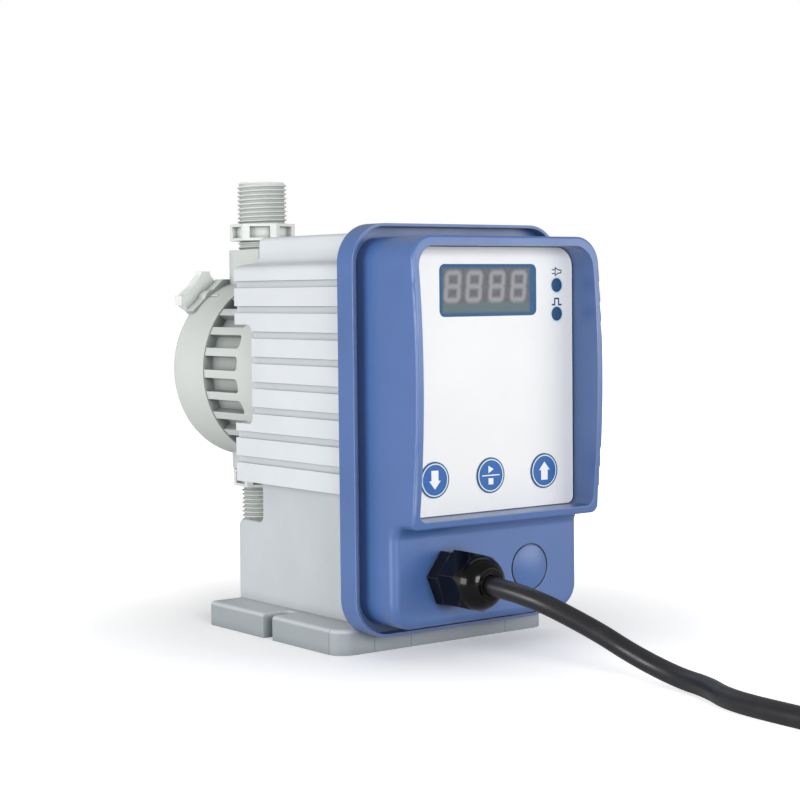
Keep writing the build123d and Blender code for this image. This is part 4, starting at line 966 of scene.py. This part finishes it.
def make_gland_fingers():
    """Clamping fingers round the cord in the mouth of the gland."""
    parts = []
    for k in range(FINGERS):
        start, end = (2 * pi * (k + share) / FINGERS for share in (FINGER_GAP, 1 - FINGER_GAP))
        arc = [start + (end - start) * i / FINGER_STEPS for i in range(FINGER_STEPS + 1)]
        outline = [(FINGER_OUTER * cos(a), FINGER_OUTER * sin(a)) for a in arc]
        outline += [(FINGER_INNER * cos(a), FINGER_INNER * sin(a)) for a in reversed(arc)]
        parts.append(prism_parts(outline, GLAND_AXIS, FINGER_FRONT_Y, FINGER_REAR_Y))
    verts, faces = join_parts(*parts)
    piece("gland_fingers", in_metres(verts), faces, "gland_plastic")


make_gland_fingers()


# ---------------------------------------------------------------- floor, lights and world
WHITE = (1.0, 1.0, 1.0, 1.0)
WORLD_STRENGTH = 0.37
FLOOR_HALF = 12.0
FLOOR_NEAR, FLOOR_FAR = 0.07, 0.26     # from the pump's middle: the shadow fades between these
FLOOR_GLOW = 0.24              # glow that the camera sees near the pump; it is 1 far off
FLOOR_SEEN = (0.95, 0.95, 0.96, 1.0)
FLOOR_BOUNCE = (0.8, 0.8, 0.81, 1.0)
LIGHT_TARGET = (0.0, 0.0, 0.09)
# Area lights: name, place, width and height, power in watts
LIGHTS = (
    ("key_left", (-0.4, -1.25, 0.36), (0.45, 0.45), 8.2),
    ("fill_left", (-1.65, 0.15, 0.28), (1.1, 0.6), 17.0),
    ("fill_front", (1.15, -1.5, 0.35), (1.4, 0.7), 10.0),
    ("top_soft", (0.1, 0.3, 1.7), (1.6, 1.6), 0.8),
)


def make_stage():
    """White paper floor: it takes the shadow near the pump and fades to plain white further off."""
    corners = [(x * FLOOR_HALF, y * FLOOR_HALF, 0) for x, y in ((-1, -1), (1, -1), (1, 1), (-1, 1))]
    mesh = bpy.data.meshes.new("floor")
    mesh.from_pydata(corners, [], [[0, 1, 2, 3]])
    floor = bpy.data.objects.new("floor", mesh)
    bpy.context.scene.collection.objects.link(floor)
    s = Shader("floor_paper")
    s.set(Roughness=0.8, Specular_IOR_Level=0.15, Emission_Color=WHITE)
    seen = s.add("ShaderNodeLightPath").outputs["Is Camera Ray"]
    s.link(s.mix(seen, FLOOR_BOUNCE, FLOOR_SEEN), s.bsdf.inputs["Base Color"])
    distance = s.add("ShaderNodeVectorMath", operation="LENGTH")
    s.link(s.place, distance.inputs[0])
    glow = s.spread(distance.outputs["Value"], FLOOR_NEAR, FLOOR_FAR, FLOOR_GLOW, 1.0)
    s.link(s.math("MULTIPLY", glow, seen), s.bsdf.inputs["Emission Strength"])
    mesh.materials.append(s.material)


def area_light(name, place, size, power):
    data = bpy.data.lights.new(name, "AREA")
    data.shape = "RECTANGLE"
    data.size, data.size_y = size
    data.energy = power
    light = bpy.data.objects.new(name, data)
    bpy.context.scene.collection.objects.link(light)
    light.location = place
    light.rotation_mode = "QUATERNION"
    light.rotation_quaternion = (Vector(LIGHT_TARGET) - Vector(place)).to_track_quat("-Z", "Y")


def make_world():
    """Dim white studio that the camera and clear materials see as plain white."""
    world = bpy.data.worlds.new("studio")
    bpy.context.scene.world = world
    world.use_nodes = True
    tree = world.node_tree
    background = tree.nodes["Background"]
    background.inputs["Color"].default_value = WHITE
    path = tree.nodes.new("ShaderNodeLightPath")
    seen = tree.nodes.new("ShaderNodeMath")
    seen.operation = "MAXIMUM"
    tree.links.new(path.outputs["Is Camera Ray"], seen.inputs[0])
    tree.links.new(path.outputs["Is Transmission Ray"], seen.inputs[1])
    strength = tree.nodes.new("ShaderNodeMapRange")
    strength.inputs["To Min"].default_value = WORLD_STRENGTH
    strength.inputs["To Max"].default_value = 1.0
    tree.links.new(seen.outputs[0], strength.inputs["Value"])
    tree.links.new(strength.outputs["Result"], background.inputs["Strength"])


make_stage()
make_world()
for light in LIGHTS:
    area_light(*light)

bpy.context.scene.view_settings.view_transform = "Standard"
